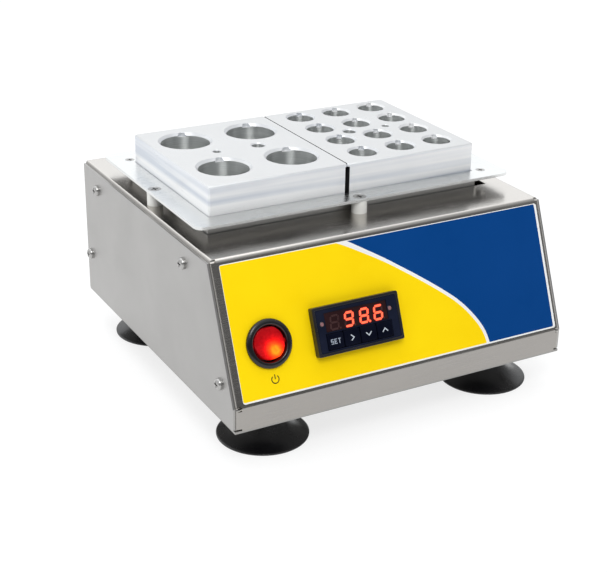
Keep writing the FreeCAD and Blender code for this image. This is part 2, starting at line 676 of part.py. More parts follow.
# ------------------------------------------------------------------ panel controller
cu, cv = ctl_x0, -(ctl_s0 + ctl_b)
cu1, cv1 = ctl_x0 + ctl_w, -ctl_s0
key_y0, key_y1 = dim("key_bottom", -52.5), dim("key_top", -44.7)
key_w2 = dim("key_half_width", 4.4)
key_u = [dim("key_%d_centre" % (i + 1), v) for i, v in enumerate((56.3, 65.53, 74.76, 83.99))]
keep(cut("ctl_frame", box("ctl_frame_out", cu, cv, 0.3, cu1, cv1, ctl_out),
         box("ctl_frame_in", cu + 1.5, cv + 1.5, -1.0, cu1 - 1.5, cv1 - 1.5, ctl_out + 2)), "controller_bezel", PANEL)
lamp_uv = [(50.6, -39.5), (88.7, -38.9)]
keep(cut("ctl_face", box("ctl_face_out", cu + 1.6, cv + 1.6, 3.1, cu1 - 1.6, cv1 - 1.6, 4.05),
         [box("ctl_face_keys", key_u[0] - key_w2 - 0.25, key_y0 - 0.25, 2.0, key_u[3] + key_w2 + 0.25, key_y1 + 0.25, 5.0),
          box("ctl_face_digits", 52.3, -43.95, 2.0, 87.2, -34.45, 5.0)] +
         [cyl("ctl_face_lamp_%d" % i, u, v, 2.0, 1.35, 3.0) for i, (u, v) in enumerate(lamp_uv)]), "controller_face", PANEL)
keep(group("ctl_digits", [box("ctl_digits_body", 52.45, -43.8, 0.9, 87.05, -34.6, 3.9)]), "controller_digits", PANEL)
keep(group("ctl_lamps", [cyl("ctl_lamp_%d" % i, u, v, 0.9, 1.25, 3.2) for i, (u, v) in enumerate(lamp_uv)]), "controller_lamps", PANEL)
keep(fuse("ctl_board", [box("ctl_board_sheet", 48.6, -52.9, -0.5, 92.0, -33.3, 0.7)] +
          [box("ctl_tact_%d" % i, u - 1.6, -50.2, 0.6, u + 1.6, -47.0, 1.3) for i, u in enumerate(key_u)] +
          [box("ctl_socket_%d" % i, 58.0 + 14.0 * i, -41.0, 0.6, 66.0 + 14.0 * i, -37.4, 0.9) for i in range(2)]), "controller_board", PANEL)
for name, u in zip(("key_set", "key_shift", "key_down", "key_up"), key_u):
    keep(fuse(name + "_parts", [box(name + "_cap", u - key_w2, key_y0, 2.0, u + key_w2, key_y1, 4.55),
                                box(name + "_lip", u - key_w2, key_y0 - 0.5, 2.0, u + key_w2, key_y1 + 0.5, 2.9)]), name, PANEL)
keep(cut("ctl_case", box("ctl_case_out", cu + 1.5, cv + 0.9, -ctl_deep, cu1 - 1.5, cv1 - 0.9, 0.3),
         box("ctl_case_in", cu + 2.2, cv + 2.1, -(ctl_deep - 1.2), cu1 - 2.2, cv1 - 2.1, 2.0)), "controller_case", PANEL)
keep(fuse("ctl_terms", [box("ctl_term_block", 50.0, -52.0, -(ctl_deep + 5.0), 90.0, -34.0, -(ctl_deep))] +
          [box("ctl_term_%d_%d" % (i, j), 51.5 + 5.4 * i, -50.5 + 9.0 * j, -(ctl_deep + 8.0), 55.0 + 5.4 * i, -45.0 + 9.0 * j, -(ctl_deep + 4.0))
           for i in range(7) for j in range(2)]), "controller_terminals", PANEL)
keep(cut("ctl_clamp", box("ctl_clamp_out", cu - 1.3, cv - 2.1, -14.0, cu1 + 1.3, cv1 + 2.1, -1.4),
         box("ctl_clamp_in", cu + 1.4, cv + 0.8, -16.0, cu1 - 1.4, cv1 - 0.8, 0.0)), "controller_clamp", PANEL)

# ------------------------------------------------------------------ rocker switch
SWITCH = PANEL.multiply(Placement(Vector(sw_x.v, -sw_s.v, 0), Rotation()))
keep(cut("sw_body", fuse("sw_body_out", [cyl("sw_rim_low", 0, 0, 0.3, sw_r, 1.0),
                                         cone("sw_rim_top", 0, 0, 1.3, sw_r, sw_r - 1.1, 1.0),
                                         cyl("sw_barrel", 0, 0, -18.0, 9.9, 18.5)]),
         [cyl("sw_well", 0, 0, -8.0, 8.8, 12.0), cone("sw_well_lip", 0, 0, 1.4, 8.8, 9.8, 1.0),
          cyl("sw_pin_bore", -12.0, 0, -1.0, 1.28, 24.0, "x")]), "switch_housing", SWITCH)
rock_r = dim("rocker_radius", 7.95)
pin_r = dim("rocker_pin_radius", 1.2)
tilt = dim("rocker_rest_tilt", 9.0)
up = prim("Part::Box", "rocker_face_up", {"Length": 24.0, "Width": 12.0, "Height": 8.0}, (-12, 0, 2.2), Rotation(Vector(1, 0, 0), tilt.v))
dn = prim("Part::Box", "rocker_face_down", {"Length": 24.0, "Width": 12.0, "Height": 8.0}, (0, 0, 0))
dn.Placement = Placement(Vector(0, 0, 2.2), Rotation(Vector(1, 0, 0), -tilt.v)).multiply(Placement(Vector(-12, -12, 0), Rotation()))
lump = common("rocker_lump", cyl("rocker_round", 0, 0, -5.0, rock_r, 12.0), cyl("rocker_swing", -12.0, 0, 0, rock_r, 24.0, "x"))
rock = fuse("rocker_all", [cut("rocker_faced", lump, [up, dn]), cyl("rocker_pin", -9.6, 0, 0, pin_r, 19.2, "x")])
keep(rock, "power_rocker", SWITCH.multiply(Placement(Vector(0, 0, -1.0), Rotation(Vector(1, 0, 0), -tilt.v))))
keep(group("sw_blades", [box("sw_blade_%d" % i, -2.4, y - 0.4, -26.0, 2.4, y + 0.4, -18.0) for i, y in enumerate((-6.0, 0.0, 6.0))]),
     "switch_blades", SWITCH)

# ------------------------------------------------------------------ mains inlet
keep(cut("inlet_body", fuse("inlet_out", [box("inlet_flange", inlet_x - 25, case_d, inlet_z - 11, inlet_x + 25, case_d + back_out, inlet_z + 11),
                                          box("inlet_box", inlet_x - 14, 146.0, inlet_z - 10.4, inlet_x + 14, case_d + 0.5, inlet_z + 10.4)]),
         [box("inlet_mouth", inlet_x - 12.2, 149.5, inlet_z - 8.2, inlet_x + 12.2, 170.0, inlet_z + 8.2)] +
         [box("inlet_slot_%d" % i, inlet_x + dx - 1.05, 140.0, inlet_z + dz - 2.05, inlet_x + dx + 1.05, 152.0, inlet_z + dz + 2.05)
          for i, (dx, dz) in enumerate(((-7.0, -2.0), (7.0, -2.0), (0.0, 2.0)))] +
         [cyl("inlet_hole_%d" % i, inlet_x + dx, 160.0, inlet_z, 1.6, 8.0, "y") for i, dx in enumerate((-20.0, 20.0))] +
         [cone("inlet_sink_%d" % i, inlet_x + dx, case_d + back_out - 1.5, inlet_z, 1.6, 3.1, 1.5, "y") for i, dx in enumerate((-20.0, 20.0))]),
     "power_inlet")
pins = []
for i, (dx, dz) in enumerate(((-7.0, -2.0), (7.0, -2.0), (0.0, 2.0))):
    pins.append(box("inlet_pin_%d" % i, inlet_x + dx - 1.0, 140.0, inlet_z + dz - 2.0, inlet_x + dx + 1.0, 161.0, inlet_z + dz + 2.0))
keep(group("inlet_pin_set", pins), "inlet_pins")
BACK = Rotation(Vector(1, 0, 0), -90)    # head towards +Y
m3_in = screw_solid(2.95, 1.5, 1.42, 9.5, "flat")
feature("inlet_screws", Part.makeCompound([at(m3_in, inlet_x.v + dx, D + back_out.v - 0.05, inlet_z.v, BACK) for dx in (-20, 20)]))
m3_nut = nut_solid(5.5, 2.4, 1.45)
feature("inlet_nuts", Part.makeCompound([at(m3_nut, inlet_x.v + dx, D - T - 2.4, inlet_z.v, BACK) for dx in (-20, 20)]))

# ------------------------------------------------------------------ relay, terminals, earth
z_in = wrap_bot
keep(cut("relay", fuse("relay_out", [box("relay_base", 112.0, 50.0, z_in, 156.5, 107.0, z_in + 3),
                                     box("relay_box", 112.0, 58.5, z_in + 2.5, 156.5, 98.5, z_in + 22.3)] +
                       [box("relay_tab_%d" % i, x, y, z_in + 22, x + 8.0, y + 7.0, z_in + 23.5) for i, (x, y) in
                        enumerate(((115.0, 60.0), (145.0, 60.0), (115.0, 90.0), (145.0, 90.0)))]),
         [cyl("relay_hole_%d" % i, x, y, z_in - 1, 2.1, 6.0) for i, (x, y) in enumerate(relay_xy)]), "solid_state_relay")
m4_relay = screw_solid(3.8, 2.4, 2.0, 4.1)
feature("relay_screws", Part.makeCompound([at(m4_relay, x, y, z_in.v + 3.0) for x, y in relay_xy]))
keep(cut("terminals", box("terminal_bar", 50.0, 118.0, z_in, 90.0, 136.0, z_in + 17),
         [cyl("terminal_well_%d" % i, 54.0 + 8.0 * i, 127.0, z_in + 12, 2.4, 8.0) for i in range(5)]), "terminal_block")
keep(fuse("earth", [cyl("earth_rod", 146.0, 134.0, z_in, 2.0, 15.0), cyl("earth_washer", 146.0, 134.0, z_in + 0.2, 4.5, 0.9)]), "earth_stud")
feature("earth_nut", Part.makeCompound([at(nut_solid(7.0, 3.2, 2.05), 146.0, 134.0, z_in.v + 1.2)]))


# ------------------------------------------------------------------ wiring
def tube(points, r):
    """Round wire along straight runs joined by tangent arcs; radii are as large as they fit."""
    p = [Vector(*[q(c).v for c in v]) for v in points]
    edges, here = [], p[0]
    for i in range(1, len(p) - 1):
        a, b = (p[i - 1] - p[i]), (p[i + 1] - p[i])
        la, lb = a.Length, b.Length
        a.normalize()
        b.normalize()
        turn = math.pi - a.getAngle(b)
        t = 0.45 * min(la, lb)
        rad = t / math.tan(turn / 2)
        s0, s1 = p[i] + a * t, p[i] + b * t
        mid_dir = (a + b)
        mid_dir.normalize()
        c = p[i] + mid_dir * math.hypot(rad, t)
        edges.append(Part.LineSegment(here, s0).toShape())
        edges.append(Part.Arc(s0, c - mid_dir * rad, s1).toShape())
        here = s1
    edges.append(Part.LineSegment(here, p[-1]).toShape())
    w = Part.Wire(edges)
    d = p[1] - p[0]
    ring = Part.Wire([Part.makeCircle(r, p[0], d)])
    solid = w.makePipeShell([ring], True, True)
    want = math.pi * r * r * w.Length
    if abs(solid.Volume - want) > 0.02 * want:
        raise ValueError("wire volume is off: %.1f, not %.1f" % (solid.Volume, want))
    return solid


zi = z_in.v
feature("mains_wires", Part.makeCompound([
    tube([(143, 140, -46), (143, 131, -46.5), (132, 124, -50), (100, 122, -49), (78, 124, -51), (78, 127, zi + 13)], 1.1),
    tube([(157, 140, -46), (157, 130, -47), (140, 117.5, -51.5), (104, 118, -52.5), (72, 121, -52), (70, 127, zi + 13)], 1.1),
    tube([(150, 140, -42.6), (150, 136.5, -44.2), (149, 138.5, -52), (146, 139.7, -60), (146, 139.7, zi + 2.2)], 1.1)]))
feature("switch_wires", Part.makeCompound([
    tube([(21.5, 8.2, -50.6), (21.5, 22, -56.2), (26, 60, -64), (46, 100, -66), (54, 118.2, -66)], 1.1),
    tube([(24.7, 2.8, -48.3), (25.5, 20, -60.5), (34, 60, -70), (52, 100, -70), (62, 118.2, -70)], 1.1)]))
feature("heater_leads", Part.makeCompound([
    tube([(100, 121, -34.45), (100, 137.5, -34.45), (101, 139, -44.6), (108, 128, -45.6), (118, 112, -45.6), (119, 94, -46.2), (119, 94, zi + 23.5)], 0.7)]))
feature("probe_lead", Part.makeCompound([
    tube([(60, 136, probe_z.v), (60, 142, probe_z.v - 1), (60, 144, -48), (62, 112, -54), (66, 86, -67), (66, 66, -70.6), (66, 47.6, -62.9)], 0.9)]))


# ------------------------------------------------------------------ feet
def foot(label, x, y):
    """Suction cup: short neck, concave flare to a thin rim, hollow underneath."""
    b = body(label, CASE.multiply(Placement(Vector(x.v, y.v, -(H2 + foot_h.v)), Rotation())))
    s = sketch(b, label + "_section", "XZ_Plane")
    fr = foot_r
    # (r, z) corners, each with the radius of the arc that reaches it, or None for a line
    pts = [(q(2.4), foot_h - 11, None, None), (q(2.4), foot_h, None, None), (q(8.6), foot_h, None, None), (q(8.6), foot_h - 2.0, None, None),
           (fr - 1.5, q(1.5), 17.5, 1), (fr, q(0.9), None, None), (fr, q(0.25), None, None), (fr - 0.5, q(0.0), None, None),
           (fr - 1.9, q(0.0), None, None), (fr - 3.0, q(0.7), None, None), (q(6.0), q(7.0), 30.0, 1), (q(0.0), q(7.4), None, None), (q(0.0), foot_h - 11, None, None)]
    n = len(pts)
    for i in range(n):
        x0, y0 = pts[i][0].v, pts[i][1].v
        nx, ny, rad, sgn = pts[(i + 1) % n]
        a, c = Vector(x0, y0, 0), Vector(nx.v, ny.v, 0)
        if rad is None:
            s.addGeometry(Part.LineSegment(a, c), False)
        else:
            # centre on the outer, upper side, so the surface is hollowed
            m = (a + c) * 0.5
            d = c - a
            up_n = Vector(-d.y, d.x, 0)
            up_n.normalize()
            if up_n.y < 0:
                up_n = up_n * -1
            ctr = m + up_n * math.sqrt(rad * rad - d.Length * d.Length / 4)
            t0 = math.atan2(a.y - ctr.y, a.x - ctr.x)
            t1 = math.atan2(c.y - ctr.y, c.x - ctr.x)
            if (t1 - t0) % (2 * math.pi) > math.pi:
                t0, t1 = t1, t0
            t1 = t0 + (t1 - t0) % (2 * math.pi)
            s.addGeometry(Part.ArcOfCircle(Part.Circle(ctr, Vector(0, 0, 1), rad), t0, t1), False)
    for i in range(n):
        j = (i + 1) % n
        # an arc's ends keep the order in which it was drawn, counter-clockwise
        e0 = s.Geometry[i]
        e1 = s.Geometry[j]
        tgt = Vector(pts[j][0].v, pts[j][1].v, 0)
        p_end = 2 if (e0.EndPoint - tgt).Length < 1e-4 else 1
        p_start = 1 if (e1.StartPoint - tgt).Length < 1e-4 else 2
        s.addConstraint(Sketcher.Constraint("Coincident", i, p_end, j, p_start))
        bind(s, "DistanceX", j, p_start, pts[j][0])
        bind(s, "DistanceY", j, p_start, pts[j][1])
        if pts[j][2] is not None:
            s.addConstraint(Sketcher.Constraint("Radius", i, pts[j][2]))
    f = b.newObject("PartDesign::Revolution", label + "_turned")
    f.Profile = s
    f.ReferenceAxis = (s, ["V_Axis"])
    f.Angle = 360.0
    s.Visibility = False
    doc.recompute()
    return b


for name, (x, y) in zip(("foot_front_left", "foot_front_right", "foot_back_left", "foot_back_right"), foot_xy):
    foot(name, x, y)
studs = []
for i, (x, y) in enumerate(foot_xy):
    studs.append(cyl("foot_stud_%d" % i, x, y, -(case_h + 11.0), 2.35, 18.0))
keep(group("foot_stud_set", studs), "foot_studs")
feature("foot_nuts", Part.makeCompound([at(nut_solid(8.0, 4.0, 2.4), x.v, y.v, zi) for x, y in foot_xy]))

# ------------------------------------------------------------------ checks, then files
doc.recompute()
bad = []
for o in doc.Objects:
    if "Invalid" in o.State or "Error" in o.State:
        bad.append(o.Name + " " + ",".join(o.State))
for f in cuts:
    if f.BaseFeature is None or f.BaseFeature.Shape.Volume - f.Shape.Volume < 0.5:
        bad.append(f.Name + " cut nothing")
for o in parts:
    if o.Shape.isNull() or not o.Shape.isValid() or o.Shape.Volume <= 0:
        bad.append(o.Label + " has no sound shape")
if bad:
    raise RuntimeError("; ".join(bad))
os.makedirs("parts", exist_ok=True)
for o in parts:
    o.Shape.exportStep("parts/%s.step" % o.Label)
print("%d sub-parts" % len(parts))
for o in parts:
    bb = o.Shape.BoundBox
    print("%-22s solids %2d vol %9.1f  x %7.1f %7.1f y %7.1f %7.1f z %7.1f %7.1f" % (
        o.Label, len(o.Shape.Solids), o.Shape.Volume, bb.XMin, bb.XMax, bb.YMin, bb.YMax, bb.ZMin, bb.ZMax))
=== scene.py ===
import json
import math

import bmesh
import bpy
from mathutils import Matrix, Vector
from mathutils.geometry import delaunay_2d_cdt

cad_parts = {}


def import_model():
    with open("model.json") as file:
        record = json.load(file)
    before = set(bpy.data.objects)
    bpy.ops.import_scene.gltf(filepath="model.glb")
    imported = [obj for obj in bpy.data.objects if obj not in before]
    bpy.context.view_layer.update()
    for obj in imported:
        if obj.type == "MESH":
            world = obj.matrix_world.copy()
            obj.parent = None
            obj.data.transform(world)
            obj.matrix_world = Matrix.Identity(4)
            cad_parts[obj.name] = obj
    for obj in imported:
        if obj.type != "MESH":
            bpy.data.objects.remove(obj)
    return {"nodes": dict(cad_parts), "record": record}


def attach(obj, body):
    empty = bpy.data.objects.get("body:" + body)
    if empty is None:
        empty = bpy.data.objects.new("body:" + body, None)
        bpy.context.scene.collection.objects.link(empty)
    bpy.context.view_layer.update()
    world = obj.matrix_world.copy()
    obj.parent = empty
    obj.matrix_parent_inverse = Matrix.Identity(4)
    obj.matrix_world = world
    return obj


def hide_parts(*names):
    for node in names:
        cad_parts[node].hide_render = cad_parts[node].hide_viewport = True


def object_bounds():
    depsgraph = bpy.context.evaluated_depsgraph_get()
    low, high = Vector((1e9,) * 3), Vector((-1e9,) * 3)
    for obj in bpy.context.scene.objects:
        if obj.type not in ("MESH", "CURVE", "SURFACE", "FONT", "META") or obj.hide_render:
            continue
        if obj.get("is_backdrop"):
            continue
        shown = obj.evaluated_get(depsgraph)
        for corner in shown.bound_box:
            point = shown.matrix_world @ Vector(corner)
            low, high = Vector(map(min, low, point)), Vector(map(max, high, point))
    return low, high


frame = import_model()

CAD_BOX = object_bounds()
NODES = frame["nodes"]
MM = 0.001

# ------------------------------------------------------------------ frames
# Case coordinates (mm) start at the case's top front left corner; panel coordinates run
# right (u), up the sloped panel (v) and out of it (w) from the same corner.
RUN, RISE = 27.0, 65.0
SLOPE = math.hypot(RUN, RISE)
CU, CV = RUN / SLOPE, RISE / SLOPE
SHIFT = Vector((-96.0, -69.3, 98.0))
PANEL = Matrix(((1, 0, 0, SHIFT.x), (0, CU, -CV, SHIFT.y), (0, CV, CU, SHIFT.z), (0, 0, 0, 1)))
CASE = Matrix.Translation(SHIFT)


def obj(name, bm, place, body="chassis", mats=(), smooth=None, bevel=None, bevel_angle=35):
    """Links a bmesh made in millimetres as a piece in metres that rides on a body."""
    me = bpy.data.meshes.new(name)
    bmesh.ops.recalc_face_normals(bm, faces=bm.faces)
    bm.to_mesh(me)
    bm.free()
    me.transform(place)
    me.transform(Matrix.Scale(MM, 4))
    o = bpy.data.objects.new(name, me)
    bpy.context.scene.collection.objects.link(o)
    for m in mats:
        me.materials.append(m)
    if smooth is not None:
        me.shade_smooth()
        me.set_sharp_from_angle(angle=math.radians(smooth))
    if bevel:
        b = o.modifiers.new("edge", "BEVEL")
        b.width, b.segments, b.limit_method, b.angle_limit = bevel * MM, 3, "ANGLE", math.radians(bevel_angle)
        b.harden_normals = False
    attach(o, body)
    return o


def box_bm(bm, x0, y0, z0, x1, y1, z1):
    r = bmesh.ops.create_cube(bm, size=1.0)
    bmesh.ops.transform(bm, verts=r["verts"], matrix=Matrix.Translation(((x0 + x1) / 2, (y0 + y1) / 2, (z0 + z1) / 2)) @ Matrix.Diagonal((x1 - x0, y1 - y0, z1 - z0, 1)))
    return r["verts"]


def prism(bm, pts, z0, z1, mat=0):
    """Closed prism over a 2-D outline."""
    lo = [bm.verts.new((x, y, z0)) for x, y in pts]
    hi = [bm.verts.new((x, y, z1)) for x, y in pts]
    n = len(pts)
    faces = [bm.faces.new(hi), bm.faces.new(list(reversed(lo)))]
    for i in range(n):
        faces.append(bm.faces.new((lo[i], lo[(i + 1) % n], hi[(i + 1) % n], hi[i])))
    for f in faces:
        f.material_index = mat
    return faces


def rounded(x0, y0, x1, y1, r, n=6):
    pts = []
    for cx, cy, a0 in ((x1 - r, y0 + r, -90), (x1 - r, y1 - r, 0), (x0 + r, y1 - r, 90), (x0 + r, y0 + r, 180)):
        for i in range(n + 1):
            a = math.radians(a0 + 90.0 * i / n)
            pts.append((cx + r * math.cos(a), cy + r * math.sin(a)))
    return pts


def ring_prism(bm, outer, inner, z0, z1):
    """Closed prism between two outlines with the same number of points."""
    n = len(outer)
    v = [[bm.verts.new((x, y, z)) for x, y in loop] for z in (z0, z1) for loop in (outer, inner)]
    ol, il, oh, ih = v
    for i in range(n):
        j = (i + 1) % n
        bm.faces.new((ol[i], ol[j], oh[j], oh[i]))
        bm.faces.new((il[j], il[i], ih[i], ih[j]))
        bm.faces.new((oh[i], oh[j], ih[j], ih[i]))
        bm.faces.new((ol[j], ol[i], il[i], il[j]))


def lathe(bm, prof, n=96, closed=True, centre=(0, 0)):
    """Turned form from (r, z) points; a closed profile that may touch the axis."""
    rings = []
    for r, z in prof:
        if r < 1e-6:
            rings.append([bm.verts.new((centre[0], centre[1], z))])
        else:
            rings.append([bm.verts.new((centre[0] + r * math.cos(2 * math.pi * i / n), centre[1] + r * math.sin(2 * math.pi * i / n), z)) for i in range(n)])
    m = len(rings)
    for k in range(m if closed else m - 1):
        a, b = rings[k], rings[(k + 1) % m]
        if len(a) == 1 and len(b) == 1:
            continue
        for i in range(n):
            j = (i + 1) % n
            if len(a) == 1:
                bm.faces.new((a[0], b[i], b[j]))
            elif len(b) == 1:
                bm.faces.new((a[i], b[0], a[j]))
            else:
                bm.faces.new((a[i], b[i], b[j], a[j]))


def arc(cx, cz, r, a0, a1, n):
    return [(cx + r * math.cos(math.radians(a0 + (a1 - a0) * i / n)), cz + r * math.sin(math.radians(a0 + (a1 - a0) * i / n))) for i in range(n + 1)]


# ------------------------------------------------------------------ materials
class Mat:
    """A node material round one Principled shader, with texture space in millimetres."""

    def __init__(self, name, color=(0.8, 0.8, 0.8), rough=0.4, metal=0.0, **kw):
        self.m = bpy.data.materials.new(name)
        self.m.use_nodes = True
        self.t = self.m.node_tree
        self.p = next(n for n in self.t.nodes if n.type == "BSDF_PRINCIPLED")
        self.set("Base Color", (*color, 1.0))
        self.set("Roughness", rough)
        self.set("Metallic", metal)
        for k, v in kw.items():
            self.set(k.replace("_", " "), v)
        self.coord = self.node("ShaderNodeTexCoord").outputs["Object"]
        self.bump_in = None

    def set(self, key, v):
        self.p.inputs[key].default_value = v

    def node(self, kind, **kw):
        n = self.t.nodes.new(kind)
        for k, v in kw.items():
            setattr(n, k, v)
        return n

    def link(self, a, b):
        self.t.links.new(a, b)

    def space(self, scale=(1, 1, 1), rot=(0, 0, 0), loc=(0, 0, 0)):
        """Object space in mm times scale, turned by rot (degrees)."""
        m1 = self.node("ShaderNodeMapping")
        m1.inputs["Rotation"].default_value = [math.radians(a) for a in rot]
        m1.inputs["Location"].default_value = loc
        self.link(self.coord, m1.inputs["Vector"])
        m2 = self.node("ShaderNodeMapping")
        m2.inputs["Scale"].default_value = [1000.0 * s for s in scale]
        self.link(m1.outputs["Vector"], m2.inputs["Vector"])
        return m2.outputs["Vector"]

    def noise(self, vec, scale=1.0, detail=3.0, rough=0.5, distort=0.0):
        n = self.node("ShaderNodeTexNoise")
        n.inputs["Scale"].default_value = scale
        n.inputs["Detail"].default_value = detail
        n.inputs["Roughness"].default_value = rough
        n.inputs["Distortion"].default_value = distort
        self.link(vec, n.inputs["Vector"])
        return n.outputs["Fac"]

    def ramp(self, fac, stops, interp="LINEAR"):
        r = self.node("ShaderNodeValToRGB")
        r.color_ramp.interpolation = interp
        els = r.color_ramp.elements
        while len(els) < len(stops):
            els.new(0.5)
        for e, (p, c) in zip(els, stops):
            e.position = p
            e.color = (*c, 1.0) if len(c) == 3 else c
        self.link(fac, r.inputs["Fac"])
        return r.outputs["Color"]

    def span(self, fac, a, b, lo=0.0, hi=1.0):
        r = self.node("ShaderNodeMapRange")
        r.inputs["From Min"].default_value = lo
        r.inputs["From Max"].default_value = hi
        r.inputs["To Min"].default_value = a
        r.inputs["To Max"].default_value = b
        self.link(fac, r.inputs["Value"])
        return r.outputs["Result"]

    def math(self, op, a, b=None, clamp=False):
        n = self.node("ShaderNodeMath", operation=op, use_clamp=clamp)
        for i, v in enumerate((a, b)):
            if v is None:
                continue
            if isinstance(v, (int, float)):
                n.inputs[i].default_value = v
            else:
                self.link(v, n.inputs[i])
        return n.outputs[0]

    def mix(self, fac, a, b, blend="MIX"):
        n = self.node("ShaderNodeMix", data_type="RGBA", blend_type=blend)
        for key, v in ((0, fac), (6, a), (7, b)):
            if isinstance(v, (int, float)):
                n.inputs[key].default_value = v
            elif isinstance(v, tuple):
                n.inputs[key].default_value = (*v, 1.0) if len(v) == 3 else v
            else:
                self.link(v, n.inputs[key])
        return n.outputs[2]

    def to(self, key, out):
        self.link(out, self.p.inputs[key])

    def bump(self, height, strength=0.3, dist=0.05):
        """dist in millimetres."""
        b = self.node("ShaderNodeBump")
        b.inputs["Strength"].default_value = strength
        b.inputs["Distance"].default_value = dist * MM
        self.link(height, b.inputs["Height"])
        if self.bump_in is not None:
            self.link(self.bump_in, b.inputs["Normal"])
        self.bump_in = b.outputs["Normal"]
        self.link(self.bump_in, self.p.inputs["Normal"])


def brushed(name, color, rough, grain_axis="x", depth=0.25, tint=0.06, rot=(0, 0, 0), under=None, over=None):
    """Sheet metal with a fine linear grain along one axis, soft blotches and rub marks, and optional painted shade
    on faces pointing down and painted light on the top.
    """
    m = Mat(name, color, rough, 1.0)
    fine, long = 9.0, 0.16
    sc = {"x": (long, fine, fine), "y": (fine, long, fine), "z": (fine, fine, long)}[grain_axis]
    g = m.noise(m.space(sc, rot), 1.0, 4.0, 0.65)
    sc2 = tuple(s * 0.22 for s in sc)
    g2 = m.noise(m.space(sc2, rot, (3.1, 1.7, 5.3)), 1.0, 3.0, 0.6)
    both = m.math("ADD", m.math("MULTIPLY", g, 0.6), m.math("MULTIPLY", g2, 0.4))
    blotch = m.noise(m.space((0.022, 0.022, 0.022)), 1.0, 3.0, 0.55, 0.4)
    lo = tuple(c * (1 - tint) for c in color)
    hi = tuple(min(1.0, c * (1 + tint)) for c in color)
    c = m.mix(m.span(both, 0, 1, 0.3, 0.7), lo, hi)
    c = m.mix(m.span(blotch, 0.0, 0.22, 0.35, 0.75), c, tuple(x * 0.88 for x in color))
    geo, sep = m.node("ShaderNodeNewGeometry"), m.node("ShaderNodeSeparateXYZ")
    m.link(geo.outputs["Normal"], sep.inputs[0])
    if under is not None:
        # painted shade: the side that faces down is darkened, standing in for the shade beneath it
        c = m.mix(m.span(sep.outputs["Z"], 1.0, 0.0, -0.6, -0.3), c, tuple(x * under for x in color))
    if over is not None:
        # painted light: the top is painted brighter than the bent fronts, standing in for the stronger light it
        # takes from above
        c = m.mix(m.span(sep.outputs["Z"], 0.0, 1.0, 0.75, 0.95), c, tuple(x * over for x in color))
    m.to("Base Color", c)
    r = m.math("ADD", m.span(both, rough - 0.07, rough + 0.09, 0.3, 0.7), m.span(blotch, -0.04, 0.05, 0.3, 0.7))
    m.to("Roughness", r)
    m.bump(both, depth, 0.02)
    return m


def moulded(name, color, rough, grain=0.5, depth=0.15, var=0.12, coat=0.0, scale=2.4, gloss=0.5):
    """Moulded plastic or rubber: fine skin texture, slight tone drift and handling sheen."""
    m = Mat(name, color, rough, 0.0)
    m.set("Specular IOR Level", gloss)
    if coat:
        m.set("Coat Weight", coat)
        m.set("Coat Roughness", 0.08)
    n1 = m.noise(m.space((scale, scale, scale)), 1.0, 4.0, 0.6)
    n2 = m.noise(m.space((0.06, 0.06, 0.06)), 1.0, 3.0, 0.5, 0.3)
    m.to("Base Color", m.mix(m.span(n2, 0, 1, 0.3, 0.7), tuple(c * (1 - var) for c in color), tuple(min(1, c * (1 + var) + 0.002) for c in color)))
    m.to("Roughness", m.math("ADD", m.span(n2, rough - 0.05, rough + 0.06, 0.3, 0.7), m.span(n1, -0.03, 0.03, 0.3, 0.7)))
    m.bump(n1, depth, 0.03 * grain)
    return m


MAT = {}
# the case top is painted brighter than its bent fronts through over (painted light)
MAT["case_steel"] = brushed("case_steel", (0.362, 0.347, 0.328), 0.20, "x", 0.16, over=1.68)
MAT["cover_steel"] = brushed("cover_steel", (0.41, 0.404, 0.395), 0.36, "y", 0.16)
MAT["base_steel"] = brushed("base_steel", (0.34, 0.335, 0.325), 0.36, "x", 0.16)
MAT["screw_steel"] = brushed("screw_steel", (0.44, 0.435, 0.425), 0.30, "x", 0.12)
MAT["probe_steel"] = brushed("probe_steel", (0.70, 0.70, 0.70), 0.25, "y", 0.1)
MAT["contact_nickel"] = brushed("contact_nickel", (0.76, 0.70, 0.55), 0.28, "y", 0.1)
# the plate's underside gets painted shade through under
MAT["plate_aluminium"] = brushed("plate_aluminium", (0.76, 0.77, 0.765), 0.27, "x", 0.14, under=0.12)
MAT["tray_aluminium"] = brushed("tray_aluminium", (0.72, 0.72, 0.71), 0.36, "z", 0.2)
MAT["standoff_plastic"] = moulded("standoff_plastic", (0.80, 0.80, 0.77), 0.38, 0.5, 0.12, 0.04)
MAT["controller_black"] = moulded("controller_black", (0.006, 0.006, 0.009), 0.32, 0.6, 0.12, 0.2)
MAT["inlet_black"] = moulded("inlet_black", (0.022, 0.022, 0.024), 0.45, 1.0, 0.3)
MAT["switch_black"] = moulded("switch_black", (0.005, 0.005, 0.006), 0.22, 0.3, 0.06, 0.2)
MAT["foot_rubber"] = moulded("foot_rubber", (0.004, 0.004, 0.005), 0.24, 0.6, 0.10, 0.25, 0.0, 1.6)
MAT["insulation_white"] = moulded("insulation_white", (0.78, 0.75, 0.68), 0.9, 3.0, 0.6, 0.08)
MAT["mat_orange"] = moulded("mat_orange", (0.50, 0.13, 0.04), 0.6, 1.5, 0.3)
MAT["board_green"] = moulded("board_green", (0.02, 0.13, 0.05), 0.35, 0.4, 0.1)
MAT["relay_body"] = moulded("relay_body", (0.030, 0.030, 0.032), 0.5, 1.0, 0.3)
MAT["terminal_plastic"] = moulded("terminal_plastic", (0.62, 0.58, 0.46), 0.5, 0.8, 0.2)
MAT["wire_mains"] = moulded("wire_mains", (0.14, 0.045, 0.015), 0.4, 0.4, 0.1)
MAT["wire_switch"] = moulded("wire_switch", (0.015, 0.05, 0.30), 0.4, 0.4, 0.1)
MAT["wire_heater"] = moulded("wire_heater", (0.70, 0.66, 0.58), 0.8, 1.5, 0.4, 0.1, 0.0, 6.0)
MAT["lamp_lens"] = moulded("lamp_lens", (0.28, 0.13, 0.14), 0.25, 0.3, 0.05, 0.1, 0.4)
MAT["controller_navy"] = moulded("controller_navy", (0.008, 0.011, 0.026), 0.18, 0.25, 0.04, 0.2, gloss=0.12)
